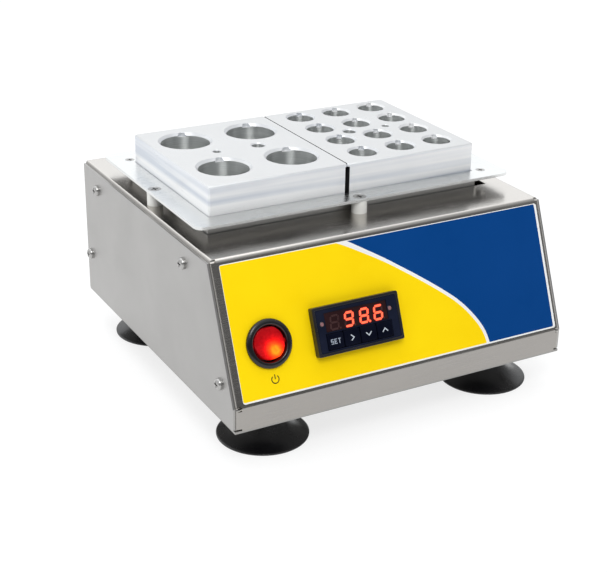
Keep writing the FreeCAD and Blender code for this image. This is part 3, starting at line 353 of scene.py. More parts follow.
MAT["key_navy"] = moulded("key_navy", (0.002, 0.003, 0.010), 0.36, 0.5, 0.10, 0.2, gloss=0.03)


def block_metal():
    """Machined aluminium: milled lines across the top, turned rings in the wells' walls; the top is painted a darker
    tone than the sides, and the sides carry painted reflection streaks in horizontal bands.
    """
    m = Mat("block_aluminium", (0.72, 0.73, 0.735), 0.40, 0.45)
    mill = m.noise(m.space((0.35, 5.0, 5.0)), 1.0, 4.0, 0.6)
    turn = m.noise(m.space((0.05, 0.05, 6.0)), 1.0, 4.0, 0.6)
    painted_streak_band = m.noise(m.space((0.004, 0.004, 0.16), (0, 0, 0), (0, 0, 0.0041)), 1.0, 2.0, 0.5)
    geo = m.node("ShaderNodeNewGeometry")
    sep = m.node("ShaderNodeSeparateXYZ")
    m.link(geo.outputs["Normal"], sep.inputs[0])
    up = m.span(m.math("ABSOLUTE", sep.outputs["Z"]), 0, 1, 0.5, 0.9)
    g = m.node("ShaderNodeMix", data_type="FLOAT")
    m.link(up, g.inputs[0])
    m.link(turn, g.inputs[2])
    m.link(mill, g.inputs[3])
    tex = g.outputs[0]
    blotch = m.noise(m.space((0.03, 0.03, 0.03)), 1.0, 4.0, 0.6, 0.3)
    # painted shade on the top's tone, darker than the sides; on the sides painted reflection streaks, horizontal
    # bands from bluish grey to near white
    flat = m.mix(m.span(tex, 0, 1, 0.3, 0.7), (0.595, 0.600, 0.602), (0.65, 0.655, 0.657))
    sides_painted_streaks = m.mix(m.span(painted_streak_band, 0, 1, 0.40, 0.60), (0.64, 0.68, 0.745), (0.97, 0.972, 0.975))
    sides_painted_streaks = m.mix(m.span(turn, 0.22, 0.0, 0.3, 0.55), sides_painted_streaks, (0.74, 0.76, 0.79))
    c = m.mix(up, sides_painted_streaks, flat)
    m.to("Base Color", m.mix(m.span(blotch, 0, 0.35, 0.35, 0.75), c, m.mix(0.12, c, (0.30, 0.31, 0.33))))
    # the cutter's lines spread the gloss across them
    m.set("Anisotropic", 0.8)
    t = m.node("ShaderNodeCombineXYZ")
    m.link(up, t.inputs[1])
    m.link(m.span(up, 1.0, 0.0), t.inputs[2])
    m.to("Tangent", t.outputs[0])
    m.to("Roughness", m.math("ADD", m.span(tex, 0.28, 0.42, 0.3, 0.7), m.span(blotch, -0.04, 0.05, 0.3, 0.7)))
    m.bump(tex, 0.22, 0.02)
    return m


def bore_metal():
    """Turned aluminium of the wells and small holes: close rings round the wall."""
    m = Mat("bore_aluminium", (0.78, 0.785, 0.79), 0.42, 1.0)
    ring = m.noise(m.space((0.05, 0.05, 5.0)), 1.0, 3.0, 0.6)
    wide = m.noise(m.space((0.02, 0.02, 0.6)), 1.0, 3.0, 0.6)
    tex = m.math("ADD", m.math("MULTIPLY", ring, 0.7), m.math("MULTIPLY", wide, 0.3))
    m.to("Base Color", m.mix(m.span(tex, 0, 1, 0.35, 0.65), (0.58, 0.60, 0.595), (0.74, 0.755, 0.745)))
    m.to("Roughness", m.span(wide, 0.34, 0.44, 0.3, 0.7))
    m.set("Anisotropic", 0.95)
    t = m.node("ShaderNodeCombineXYZ")
    t.inputs[1].default_value = 0.02
    t.inputs[2].default_value = 1.0
    m.to("Tangent", t.outputs[0])
    m.bump(tex, 0.4, 0.02)
    return m


MAT["block_aluminium"] = block_metal()
MAT["bore_aluminium"] = bore_metal()


def print_film(name, color, rough=0.30, var=0.03, gloss=0.10):
    """Printed polyester film: even ink under a slightly orange-peeled gloss coat."""
    m = Mat(name, color, rough, 0.0)
    m.set("Specular IOR Level", gloss)
    n1 = m.noise(m.space((0.9, 0.9, 0.9)), 1.0, 3.0, 0.5)
    n2 = m.noise(m.space((0.035, 0.035, 0.035)), 1.0, 2.0, 0.5, 0.2)
    n3 = m.noise(m.space((7.0, 7.0, 7.0)), 1.0, 2.0, 0.5)
    m.to("Base Color", m.mix(m.span(n2, 0, 1, 0.3, 0.7), tuple(c * (1 - var) for c in color), tuple(min(1, c * (1 + var)) for c in color)))
    m.to("Roughness", m.math("ADD", m.span(n2, rough - 0.03, rough + 0.04, 0.3, 0.7), m.span(n3, -0.02, 0.02, 0.3, 0.7)))
    m.bump(n1, 0.06, 0.02)
    return m


INK = {"yellow": print_film("ink_yellow", (1.0, 0.69, 0.003)),
       "blue": print_film("ink_blue", (0.0008, 0.050, 0.220)),
       "white": print_film("ink_white", (0.86, 0.86, 0.85)),
       "edge": print_film("film_edge", (0.55, 0.55, 0.55))}

for n, o in NODES.items():
    want = next(s["material_slot"] for s in frame["record"]["subparts"] if s["node"] == n)
    if want in MAT:
        o.data.materials.clear()
        o.data.materials.append(MAT[want].m)

# ------------------------------------------------------------------ printed front overlay
# One film with the ink areas as their own faces. Panel coordinates: u right, s down the panel.
FILM = (5.0, 188.2, 2.6, 68.6)


def bez(p0, p1, p2, p3, n=14):
    out = []
    for i in range(n + 1):
        t = i / n
        out.append(tuple((1 - t) ** 3 * a + 3 * (1 - t) ** 2 * t * b + 3 * (1 - t) * t * t * c + t ** 3 * d for a, b, c, d in zip(p0, p1, p2, p3)))
    return out


def spline(pts, n=6):
    """Catmull-Rom through the points."""
    out = []
    for i in range(len(pts) - 1):
        p0, p1, p2, p3 = pts[max(i - 1, 0)], pts[i], pts[i + 1], pts[min(i + 2, len(pts) - 1)]
        for k in range(n):
            t = k / n
            out.append(tuple(0.5 * ((2 * b) + (-a + c) * t + (2 * a - 5 * b + 4 * c - d) * t * t + (-a + 3 * b - 3 * c + d) * t ** 3) for a, b, c, d in zip(p0, p1, p2, p3)))
    out.append(pts[-1])
    return out


def inside(poly, x, y):
    c, n = False, len(poly)
    for i in range(n):
        (x0, y0), (x1, y1) = poly[i], poly[(i + 1) % n]
        if (y0 > y) != (y1 > y) and x < (x1 - x0) * (y - y0) / (y1 - y0) + x0:
            c = not c
    return c


BORDER = 1.3
u0, u1, s0, s1 = FILM
outline = rounded(u0, -s1, u1, -s0, 1.2, 5)
ink_box = rounded(u0 + 0.15, -s1 + 0.75, u1 - BORDER, -s0 - 0.35, 0.7, 4)
# the light sweep between the two inks: a centre line, wider where it starts at the top
sweep_c = spline([(65.5, 0.4), (72.6, 3.9), (82.5, 9.6), (92.0, 15.3), (101.5, 21.6), (113.0, 29.6), (124.4, 38.2), (131.2, 44.1), (136.6, 50.2), (141.2, 56.9), (143.9, 62.9), (145.3, 70.2)])
sweep_a, sweep_b = [], []
for i, (u, sd) in enumerate(sweep_c):
    pa, pb = sweep_c[max(i - 1, 0)], sweep_c[min(i + 1, len(sweep_c) - 1)]
    d = Vector((pb[0] - pa[0], pb[1] - pa[1])).normalized()
    hw = 0.85 + 0.75 * max(0.0, 1 - i / 22.0) ** 1.5
    sweep_a.append((u - d.y * hw, sd + d.x * hw))
    sweep_b.append((u + d.y * hw, sd - d.x * hw))
sweep = [(u, -s) for u, s in sweep_a] + [(u, -s) for u, s in reversed(sweep_b)]
ctl_hole = [(47.6, -54.4), (93.0, -54.4), (93.0, -31.8), (47.6, -31.8)]
sw_hole = [(23.1 + 10.3 * math.cos(2 * math.pi * i / 72), -43.1 + 10.3 * math.sin(2 * math.pi * i / 72)) for i in range(72)]


def overlay():
    loops = [outline, ink_box, sweep, ctl_hole, sw_hole]
    vs, es = [], []
    for lp in loops:
        k = len(vs)
        vs += [Vector(p) for p in lp]
        es += [(k + i, k + (i + 1) % len(lp)) for i in range(len(lp))]
    v2, _, f2, _, _, _ = delaunay_2d_cdt(vs, es, [], 0, 1e-6)
    bm = bmesh.new()
    top = [bm.verts.new((p.x, p.y, 0.25)) for p in v2]
    keep = []
    for f in f2:
        cx = sum(v2[i].x for i in f) / len(f)
        cy = sum(v2[i].y for i in f) / len(f)
        if not inside(outline, cx, cy) or inside(ctl_hole, cx, cy) or inside(sw_hole, cx, cy):
            continue
        if not inside(ink_box, cx, cy) or inside(sweep, cx, cy):
            mi = 2
        else:
            # left of the sweep is yellow, right of it blue
            s = -cy
            ua = None
            for (a, sa), (b, sb) in zip(sweep_a, sweep_a[1:]):
                if sa <= s <= sb:
                    ua = a + (b - a) * (s - sa) / (sb - sa + 1e-9)
            mi = 0 if ua is None or cx < ua else 1
        face = bm.faces.new([top[i] for i in f])
        face.material_index = mi
        keep.append(face)
    bmesh.ops.dissolve_limit(bm, angle_limit=0.01, verts=bm.verts, edges=bm.edges, delimit={"MATERIAL"})
    r = bmesh.ops.extrude_face_region(bm, geom=bm.faces[:])
    low = [g for g in r["geom"] if isinstance(g, bmesh.types.BMVert)]
    for v in low:
        v.co.z = 0.0
    for f in bm.faces:
        if f.calc_center_median().z < 0.2:
            f.material_index = 3
    bmesh.ops.triangulate(bm, faces=bm.faces)
    loose = [v for v in bm.verts if not v.link_faces]
    bmesh.ops.delete(bm, geom=loose, context="VERTS")
    o = obj("overlay_film", bm, PANEL, mats=[INK[k].m for k in ("yellow", "blue", "white", "edge")])
    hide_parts("front_overlay")
    return o


overlay()

BLACK_INK = print_film("ink_black", (0.012, 0.012, 0.012), 0.35)
bm = bmesh.new()
# the usual on/off sign under the switch: a broken ring with a bar
ring = [(40 + 280 * i / 40) for i in range(41)]
oo = [(23.3 + 2.15 * math.sin(math.radians(a)), -60.3 + 2.15 * math.cos(math.radians(a))) for a in ring]
ii = [(23.3 + 1.65 * math.sin(math.radians(a)), -60.3 + 1.65 * math.cos(math.radians(a))) for a in ring]
prism(bm, oo + list(reversed(ii)), 0.2, 0.27)
prism(bm, rounded(23.05, -60.2, 23.55, -57.9, 0.2, 3), 0.2, 0.27)
obj("switch_sign", bm, PANEL, mats=[BLACK_INK.m])

# ------------------------------------------------------------------ controller front
bm = bmesh.new()
ring_prism(bm, rounded(46.3, -55.1, 94.3, -31.1, 0.9, 5), rounded(47.75, -53.65, 92.85, -32.55, 0.5, 5), 0.3, 4.3)
o = obj("controller_frame", bm, PANEL, mats=[MAT["controller_black"].m], smooth=40, bevel=0.3)
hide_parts("controller_bezel")

# display: smoked window with lit and unlit seven-segment characters just under its face
SMOKE = moulded("display_smoke", (0.022, 0.007, 0.008), 0.18, 0.2, 0.03, 0.15, gloss=0.2)


def glow(name, color, strength, core):
    m = Mat(name, core, 0.45)
    v = m.noise(m.space((1.1, 1.1, 1.1)), 1.0, 2.0, 0.5)
    m.to("Emission Color", m.mix(m.span(v, 0, 1, 0.3, 0.7), tuple(c * 0.92 for c in color), color))
    m.to("Emission Strength", m.span(v, strength * 0.85, strength * 1.15, 0.3, 0.7))
    return m


LIT = glow("segment_lit", (1.0, 0.115, 0.045), 1.55, (0.5, 0.06, 0.03))
HALO = glow("segment_halo", (0.60, 0.008, 0.004), 0.45, (0.10, 0.004, 0.004))
DIM = moulded("segment_unlit", (0.040, 0.012, 0.012), 0.3, 0.2, 0.05)

bm = bmesh.new()
prism(bm, rounded(52.45, -43.8, 87.05, -34.6, 0.35, 4), 0.9, 3.9)
o = obj("display_window", bm, PANEL, mats=[SMOKE.m], smooth=40, bevel=0.12)
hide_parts("controller_digits")

SEG = {"0": "abcdef", "1": "bc", "2": "abged", "3": "abgcd", "4": "fgbc", "5": "afgcd", "6": "afgedc", "7": "abc", "8": "abcdefg", "9": "abcdfg", " ": ""}


def segment_outline(which, x, y, w, h, t, slant=0.10, grow=0.0):
    g = 0.10 - grow
    hw, hh = w / 2, h / 2
    T = t / 2 + grow

    def hor(cy):
        return [(-hw + g + T * 0.2, cy), (-hw + g + T, cy + T), (hw - g - T, cy + T), (hw - g - T * 0.2, cy), (hw - g - T, cy - T), (-hw + g + T, cy - T)]

    def ver(cx, y0, y1):
        return [(cx, y0 + g + T * 0.2), (cx + T, y0 + g + T), (cx + T, y1 - g - T), (cx, y1 - g - T * 0.2), (cx - T, y1 - g - T), (cx - T, y0 + g + T)]

    m = {"a": hor(hh), "g": hor(0), "d": hor(-hh), "b": ver(hw, 0, hh), "c": ver(hw, -hh, 0), "f": ver(-hw, 0, hh), "e": ver(-hw, -hh, 0)}[which]
    return [(x + px + slant * py, y + py) for px, py in m]


def digits():
    lit, dim, halo = bmesh.new(), bmesh.new(), bmesh.new()
    for cx, ch in ((57.5, " "), (65.55, "9"), (74.0, "8"), (82.0, "6")):
        for s in "abcdefg":
            on = s in SEG[ch]
            prism(lit if on else dim, segment_outline(s, cx, -39.75, 4.25, 6.5, 0.98), 3.86, 3.93)
            if on:
                prism(halo, segment_outline(s, cx, -39.75, 4.25, 6.5, 0.98, grow=0.30), 3.86, 3.915)
        dot = [(cx + 3.15 - 0.35 + 0.52 * math.cos(a * math.pi / 8), -42.95 + 0.52 * math.sin(a * math.pi / 8)) for a in range(16)]
        prism(lit if ch == "8" else dim, dot, 3.86, 3.93)
        if ch == "8":
            big = [(cx + 3.15 - 0.35 + 0.85 * math.cos(a * math.pi / 8), -42.95 + 0.85 * math.sin(a * math.pi / 8)) for a in range(16)]
            prism(halo, big, 3.86, 3.915)
    obj("segments_lit", lit, PANEL, mats=[LIT.m])
    obj("segments_unlit", dim, PANEL, mats=[DIM.m])
    obj("segments_glow", halo, PANEL, mats=[HALO.m])


digits()

# lamps: a small domed lens in a dark ring
bm = bmesh.new()
for lu, lv in ((50.6, -39.5), (88.7, -38.9)):
    lathe(bm, [(0, 0.9), (1.25, 0.9), (1.25, 3.98), (1.15, 4.05), (0.98, 4.05), (0.95, 3.97)] + [(0.93 * math.cos(math.radians(a)), 3.97 + 0.12 * math.sin(math.radians(a))) for a in (15, 35, 55, 75)] + [(0, 4.09)], 40, closed=False, centre=(lu, lv))
for f in bm.faces:
    mid = f.calc_center_median()
    near = min(math.hypot(mid.x - lu, mid.y - lv) for lu, lv in ((50.6, -39.5), (88.7, -38.9)))
    f.material_index = 0 if mid.z > 3.9 and near < 0.955 else 1
o = obj("lamp_lenses", bm, PANEL, mats=[MAT["lamp_lens"].m, MAT["controller_black"].m], smooth=40)
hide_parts("controller_lamps")

# keys: soft caps with a dished top and printed marks
MARK = print_film("key_print", (0.53, 0.58, 0.64), 0.35)
WORD = print_film("key_word_print", (0.34, 0.385, 0.46), 0.35)


def stroke(bm, pts, t, z0, z1):
    """One mitred stroke of width t along a line of points."""
    left, right = [], []
    for i, p in enumerate(pts):
        a = Vector(pts[max(i - 1, 0)])
        b = Vector(pts[min(i + 1, len(pts) - 1)])
        p = Vector(p)
        d0 = (p - a).normalized() if i else (b - p).normalized()
        d1 = (b - p).normalized() if i < len(pts) - 1 else d0
        n0, n1 = Vector((-d0.y, d0.x)), Vector((-d1.y, d1.x))
        m = (n0 + n1).normalized()
        m *= (t / 2) / max(0.35, m.dot(n0))
        left.append(tuple(p + m))
        right.append(tuple(p - m))
    prism(bm, right + list(reversed(left)), z0, z1)


KEYS = (("key_set", "set_key", 56.3), ("key_shift", "shift_key", 65.53), ("key_down", "down_key", 74.76), ("key_up", "up_key", 83.99))
for node, body, u in KEYS:
    bm = bmesh.new()
    # cap: stacked outlines give the rolled edge and the shallow dish
    levels = [(4.0, 3.9, 2.0, 0.5), (4.4, 4.25, 2.0, 0.5), (4.4, 4.25, 2.9, 0.5), (4.4, 3.9, 2.9, 0.55), (4.4, 3.9, 3.9, 0.55), (4.28, 3.78, 4.28, 0.6), (4.02, 3.52, 4.47, 0.7), (3.6, 3.1, 4.53, 0.8), (2.6, 2.2, 4.42, 0.8)]
    rings = []
    for hx, hy, z, r in levels:
        rings.append([bm.verts.new((u + px, -48.6 + py, z)) for px, py in rounded(-hx, -hy, hx, hy, r, 4)])
    for a, b in zip(rings, rings[1:]):
        for i in range(len(a)):
            j = (i + 1) % len(a)
            bm.faces.new((a[i], a[j], b[j], b[i]))
    bm.faces.new(rings[-1])
    bm.faces.new(list(reversed(rings[0])))
    o = obj(node + "_cap", bm, PANEL, body=body, mats=[MAT["key_navy"].m], smooth=50)
    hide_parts(node)
    bm = bmesh.new()
    cv, z0, z1 = -48.75, 4.36, 4.47
    if node == "key_shift":
        stroke(bm, [(u - 0.75, cv + 1.4), (u + 0.85, cv), (u - 0.75, cv - 1.4)], 0.5, z0, z1)
    elif node == "key_down":
        stroke(bm, [(u - 1.5, cv + 0.8), (u, cv - 0.8), (u + 1.5, cv + 0.8)], 0.5, z0, z1)
    elif node == "key_up":
        stroke(bm, [(u - 1.5, cv - 0.8), (u, cv + 0.8), (u + 1.5, cv - 0.8)], 0.5, z0, z1)
    else:
        # the plain word for the key's function, in stroked letters
        for ox, lines in ((u - 1.95, [[(0.7, 1.05), (-0.6, 1.05), (-0.6, 0.0), (0.6, 0.0), (0.6, -1.05), (-0.7, -1.05)]]),
                          (u, [[(0.62, 1.05), (-0.6, 1.05), (-0.6, -1.05), (0.62, -1.05)], [(-0.39, 0.0), (0.45, 0.0)]]),
                          (u + 1.95, [[(-0.75, 1.05), (0.75, 1.05)], [(0.0, 0.84), (0.0, -1.25)]])):
            for line in lines:
                stroke(bm, [(ox + a * 0.95, cv + b) for a, b in line], 0.42, z0, z1)
    obj(node + "_mark", bm, PANEL, body=body, mats=[(WORD if node == "key_set" else MARK).m])

# ------------------------------------------------------------------ rocker switch
SWITCH = PANEL @ Matrix.Translation((23.1, -43.1, 0.0))
bm = bmesh.new()
prof = [(0, -18.0), (9.6, -18.0), (9.9, -17.6), (9.9, 0.3)] + [(11.55, 0.3), (11.85, 0.42), (11.9, 0.75)]
prof += arc(10.75, 0.95, 1.15, 0, 78, 7)[1:] + [(10.6, 2.28)] + arc(9.75, 1.35, 0.93, 80, 172, 8)[1:-1] + [(8.82, 1.2), (8.8, 0.9), (8.8, -8.0), (0, -8.0)]
lathe(bm, prof, 112)
o = obj("switch_bezel", bm, SWITCH, mats=[MAT["switch_black"].m], smooth=38)
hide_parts("switch_housing")


def rocker_mat():
    m = Mat("rocker_red", (0.42, 0.004, 0.008), 0.22)
    m.set("Specular IOR Level", 0.05)
    m.set("Subsurface Weight", 0.15)
    m.set("Subsurface Radius", (0.004, 0.0008, 0.0005))
    # lamp inside: a warm spot low on the rocker that fades to deep red
    c = (PANEL @ Vector((25.0, -46.6, 2.4))) * MM
    d = m.node("ShaderNodeVectorMath", operation="DISTANCE")
    m.link(m.coord, d.inputs[0])
    d.inputs[1].default_value = c
    f = m.span(d.outputs["Value"], 1.0, 0.0, 0.0016, 0.0100)
    f2 = m.math("POWER", f, 1.8)
    m.to("Emission Color", m.ramp(f2, [(0.0, (0.30, 0.0, 0.003)), (0.35, (0.85, 0.006, 0.002)), (0.7, (1.0, 0.075, 0.001)), (1.0, (1.0, 0.20, 0.003))]))
    n = m.noise(m.space((0.5, 0.5, 0.5)), 1.0, 3.0, 0.6, 0.5)
    m.to("Emission Strength", m.math("MULTIPLY", m.math("ADD", m.math("MULTIPLY", f2, 1.9), 0.10), m.span(n, 0.75, 1.25, 0.3, 0.7)))
    m.to("Base Color", m.mix(m.span(n, 0, 1, 0.3, 0.7), (0.36, 0.003, 0.006), (0.50, 0.008, 0.012)))
    m.bump(m.noise(m.space((3.0, 3.0, 3.0)), 1.0, 2.0), 0.04, 0.02)
    return m


MAT["rocker_red"] = rocker_mat()
TILT = math.radians(9.0)
ROCK = SWITCH @ Matrix.Translation((0, 0, -1.0)) @ Matrix.Rotation(-TILT, 4, "X")


def rocker():
    """Round button, hollowed V face with rolled edges, on its pivot pins."""
    R = 7.9
    bm = bmesh.new()
    n = 72
    rows = []

    def top(x, y):
        base = 2.2 + abs(y) * math.tan(TILT)
        return base - 0.25 * (1 - math.exp(-(y / 1.2) ** 2)) * 0.0

    # outline of each level is the round button, held inside the pivot's swing radius
    levels = [(-4.9, 0.90), (-4.9, 1.0), (0.0, 1.0), (1.4, 1.0)]
    for z, k in levels:
        row = []
        for i in range(n):
            a = 2 * math.pi * i / n
            x, y = R * k * math.cos(a), R * k * math.sin(a)
            ymax = math.sqrt(max(0.0, R * R - z * z))
            y = max(-ymax, min(ymax, y))
            row.append(bm.verts.new((x, y, z)))
        rows.append(row)
    for k, drop in ((1.0, 0.55), (0.985, 0.25), (0.955, 0.07), (0.92, 0.0), (0.70, 0.0), (0.45, 0.0), (0.2, 0.0)):
        row = []
        for i in range(n):
            a = 2 * math.pi * i / n
            x, y = R * k * math.cos(a), R * k * math.sin(a)
            z = top(x, y) - drop
            ymax = math.sqrt(max(0.0, R * R - z * z)) - (0.0 if k > 0.99 else 0.02 + (1 - k) * 2.0)
            if k > 0.9:
                y = max(-ymax, min(ymax, y))
                z = top(x, y) - drop
            row.append(bm.verts.new((x, y, z)))
        rows.append(row)
    for a, b in zip(rows, rows[1:]):
        for i in range(n):
            j = (i + 1) % n
            bm.faces.new((a[i], a[j], b[j], b[i]))
    c0 = bm.verts.new((0, 0, -4.9))
    c1 = bm.verts.new((0, 0, top(0, 0)))
    for i in range(n):
        j = (i + 1) % n
        bm.faces.new((rows[0][j], rows[0][i], c0))
        bm.faces.new((rows[-1][i], rows[-1][j], c1))
    o = obj("rocker_button", bm, ROCK, body="rocker", mats=[MAT["rocker_red"].m], smooth=40)
    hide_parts("power_rocker")
    bm = bmesh.new()
    for sx in (-1, 1):
        r = bmesh.ops.create_cone(bm, cap_ends=True, segments=32, radius1=1.2, radius2=1.2, depth=2.4)
        bmesh.ops.transform(bm, verts=r["verts"], matrix=Matrix.Translation((sx * 8.4, 0, 0)) @ Matrix.Rotation(math.pi / 2, 4, "Y"))
    obj("rocker_pins", bm, ROCK, body="rocker", mats=[MAT["rocker_red"].m], smooth=40, bevel=0.15)


rocker()

# ------------------------------------------------------------------ tube blocks
def union_loop(cx, cy, r, gd, gr, ga, n_arc, n_gr, ticks=(), tick=0.0):
    """Outline of a well joined with its rim notch, counter-clockwise; ga is clockwise from +Y."""
    phi = math.acos((gd * gd + r * r - gr * gr) / (2 * gd * r))
    mid = math.radians(90.0 - ga)
    pts = []
    a0, a1 = mid + phi, mid - phi + 2 * math.pi
    for i in range(n_arc):
        a = a0 + (a1 - a0) * i / (n_arc - 1)
        rr = r
        for t in ticks:
            off = (math.degrees(a) - (90.0 - t) + 180) % 360 - 180
            rr += tick * max(0.0, 1 - (abs(off) * r * math.pi / 180 / 1.0) ** 2)
        pts.append((cx + rr * math.cos(a), cy + rr * math.sin(a)))
    gx, gy = cx + gd * math.cos(mid), cy + gd * math.sin(mid)
    sx, sy = cx + r * math.cos(mid - phi), cy + r * math.sin(mid - phi)
    b0 = math.atan2(sy - gy, sx - gx)
    ex, ey = cx + r * math.cos(mid + phi), cy + r * math.sin(mid + phi)
    b1 = math.atan2(ey - gy, ex - gx)
    while b1 < b0:
        b1 += 2 * math.pi
    for i in range(1, n_gr):
        b = b0 + (b1 - b0) * i / n_gr
        pts.append((gx + gr * math.cos(b), gy + gr * math.sin(b)))
    return pts


def round_loop(cx, cy, r, n):
    return [(cx + r * math.cos(2 * math.pi * i / n), cy + r * math.sin(2 * math.pi * i / n)) for i in range(n)]


def tube_block(node, body, x0, x1, wells, r, wc, groove, ticks, holes):
    """Machined block: broken edges, chamfered wells with a flat notch in each rim, flat floors."""
    top, low, y0, y1 = 121.4, 70.6, -37.3, 55.1
    bm = bmesh.new()

    def cham(k, slot=False):
        """Outline pulled in by k; the corner by the other block is cut back in a slot below the top."""
        c = 0.8
        left = x1 < 0
        ks = k * 0.35
        if slot:
            w, d = 1.15, 4.5
            inner = [(x1 - w, y0), (x1 - w + 0.05, y0 + 0.1), (x1 - w + 0.05, y0 + d), (x1, y0 + d)] if left else [(x0, y0 + d), (x0 + w - 0.05, y0 + d), (x0 + w - 0.05, y0 + 0.1), (x0 + w, y0)]
        else:
            inner = [(x1 - ks - c, y0 + k), (x1 - ks - c * 0.667, y0 + k + c * 0.333), (x1 - ks - c * 0.333, y0 + k + c * 0.667), (x1 - ks, y0 + k + c)] if left else [(x0 + ks, y0 + k + c), (x0 + ks + c * 0.333, y0 + k + c * 0.667), (x0 + ks + c * 0.667, y0 + k + c * 0.333), (x0 + ks + c, y0 + k)]
        kl, kr = (k, ks) if left else (ks, k)
        sw = [(x0 + kl, y0 + k + c), (x0 + kl + c, y0 + k)]
        se = [(x1 - kr - c, y0 + k), (x1 - kr, y0 + k + c)]
        back_ = [(x1 - kr, y1 - k - c), (x1 - kr - c, y1 - k), (x0 + kl + c, y1 - k), (x0 + kl, y1 - k - c)]
        return sw + inner + back_ if left else inner + se + back_

    def verts(pts, z):
        return [bm.verts.new((x, y, z)) for x, y in pts]

    def strip(a, b):
        for i in range(len(a)):
            j = (i + 1) % len(a)
            bm.faces.new((a[i], a[j], b[j], b[i]))

    outer = [(cham(0.3), low), (cham(0.0), low + 0.3), (cham(0.0), 100.0), (cham(0, True), 100.05), (cham(0, True), top - 1.6), (cham(0.0), top - 1.55), (cham(0.0), top - 0.45), (cham(0.45), top)]
    rings = [verts(p, z) for p, z in outer]
    for k, (a, b) in enumerate(zip(rings, rings[1:])):
        strip(a, b)
    # painted shade: the slot faces by the other block and the top chamfers along the joint take the near-black shade
    # material
    for f in bm.faces:
        m = f.calc_center_median()
        if 100.02 < m.z < top - 1.5 and y0 + 0.02 < m.y < y0 + 5 and abs(m.x + 2.95) < 1.4:
            f.material_index = 1
        elif top - 0.44 < m.z and abs(m.x + 2.95) < 0.34:
            f.material_index = 1
    loops, tops = [outer[-1][0]], [rings[-1]]
    under, floors = [outer[0][0]], [rings[0]]
    gd, gr, ga = groove
    for cx, cy in wells:
        levels = [(union_loop(cx, cy, r + wc, gd, gr + 0.1, ga, 84, 14, ticks, 0.3), top), (union_loop(cx, cy, r + wc - 0.12, gd, gr, ga, 84, 14, ticks, 0.25), top - 0.12),
                  (union_loop(cx, cy, r, gd, gr, ga, 84, 14), top - wc), (union_loop(cx, cy, r, gd, gr, ga, 84, 14), top - 2.0)]
        rr = [verts(p, z) for p, z in levels]
        for a, b in zip(rr, rr[1:]):
            strip(a, b)
        # the notch's flat ledge: below it the bore is round
        whole = levels[-1][0]
        ring = list(rr[-1][:84])
        for px, py in whole[84:]:
            d = math.hypot(px - cx, py - cy)
            ring.append(bm.verts.new((cx + (px - cx) * r / d, cy + (py - cy) * r / d, top - 2.0)))
        n = len(ring)
        for i in range(83, n):
            j = (i + 1) % n
            quad = [rr[-1][i], rr[-1][j], ring[j], ring[i]]
            quad = [v for k, v in enumerate(quad) if v is not quad[k - 1]]
            if len(quad) > 2:
                bm.faces.new(quad)
        rr.append(ring)
        fr = 0.7 if (cx, cy) == wells[0] else 1.0
        for a in (0, 22.5, 45, 67.5, 90):
            k, z = (r - fr + fr * math.cos(math.radians(a))) / r, top - 45.0 + fr - fr * math.sin(math.radians(a))
            rr.append([bm.verts.new((cx + (v.co.x - cx) * k, cy + (v.co.y - cy) * k, z)) for v in ring])
            strip(rr[-2], rr[-1])
        c = bm.verts.new((cx, cy, top - 45.0))
        for i in range(len(rr[-1])):
            bm.faces.new((rr[-1][i], rr[-1][(i + 1) % len(rr[-1])], c))
        loops.append(levels[0][0])
        tops.append(rr[0])
    for cx, cy, hr, depth in holes:
        hc = 0.6 if hr > 3 else 0.35
        rr = [verts(round_loop(cx, cy, hr + hc, 48), top), verts(round_loop(cx, cy, hr, 48), top - hc), verts(round_loop(cx, cy, hr, 48), max(top - depth, low))]
        strip(rr[0], rr[1])
        strip(rr[1], rr[2])
        if depth > 50:
            under.append(round_loop(cx, cy, hr, 48))
            floors.append(rr[2])
        else:
            c = bm.verts.new((cx, cy, top - depth))
            for i in range(48):
                bm.faces.new((rr[2][i], rr[2][(i + 1) % 48], c))
        loops.append(round_loop(cx, cy, hr + hc, 48))
        tops.append(rr[0])
    for outs, rows in ((loops, tops), (under, floors)):
        vs, es, back = [], [], {}
        for lp, vv in zip(outs, rows):
            k = len(vs)
            vs += [Vector(p) for p in lp]
            es += [(k + i, k + (i + 1) % len(lp)) for i in range(len(lp))]
            for i, v in enumerate(vv):
                back[k + i] = v
        v2, _, f2, ov, _, _ = delaunay_2d_cdt(vs, es, [], 0, 1e-7)
        at = [back[o[0]] for o in ov]
        for f in f2:
            cx = sum(v2[i].x for i in f) / len(f)
            cy = sum(v2[i].y for i in f) / len(f)
            if inside(outs[0], cx, cy) and not any(inside(lp, cx, cy) for lp in outs[1:]):
                bm.faces.new([at[i] for i in f])
    bores = [(cx, cy, r, top - wc - 0.02) for cx, cy in wells] + [(cx, cy, hr, top - 0.6) for cx, cy, hr, _ in holes]
    for f in bm.faces:
        m = f.calc_center_median()
        if any(m.z < z and math.hypot(m.x - cx, m.y - cy) < br + 0.02 for cx, cy, br, z in bores) and m.z > low + 1:
            f.material_index = 2
    o = obj(node + "_machined", bm, Matrix.Identity(4), body=body, mats=[MAT["block_aluminium"].m, SLOT_SHADE.m, MAT["bore_aluminium"].m], smooth=35)
    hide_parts(node)


# near-black painted shade for the slot between the blocks and the chamfers along their joint on top
SLOT_SHADE = moulded("slot_painted_shade", (0.012, 0.012, 0.013), 0.7, 1.0, 0.3)
tube_block("tube_block_4_well", "block_left", -80.1, -3.1, [(x, y) for x in (-60.3, -21.9) for y in (-13.1, 33.3)], 13.0, 1.3, (12.2, 2.4, 16.0), (-26.0, 72.0), [(-29.2, 10.1, 3.5, 50.8), (-53.0, 10.1, 2.1, 16.0)])
tube_block("tube_block_12_well", "block_right", -2.8, 74.2, [(x, y) for x in (14.6, 37.55, 60.5) for y in (-23.0, -0.7, 21.6, 43.9)], 7.3, 1.0, (7.4, 1.5, 24.0), (-30.0,), [(26.1, 9.9, 3.5, 50.8), (49.0, 9.9, 2.1, 16.0)])

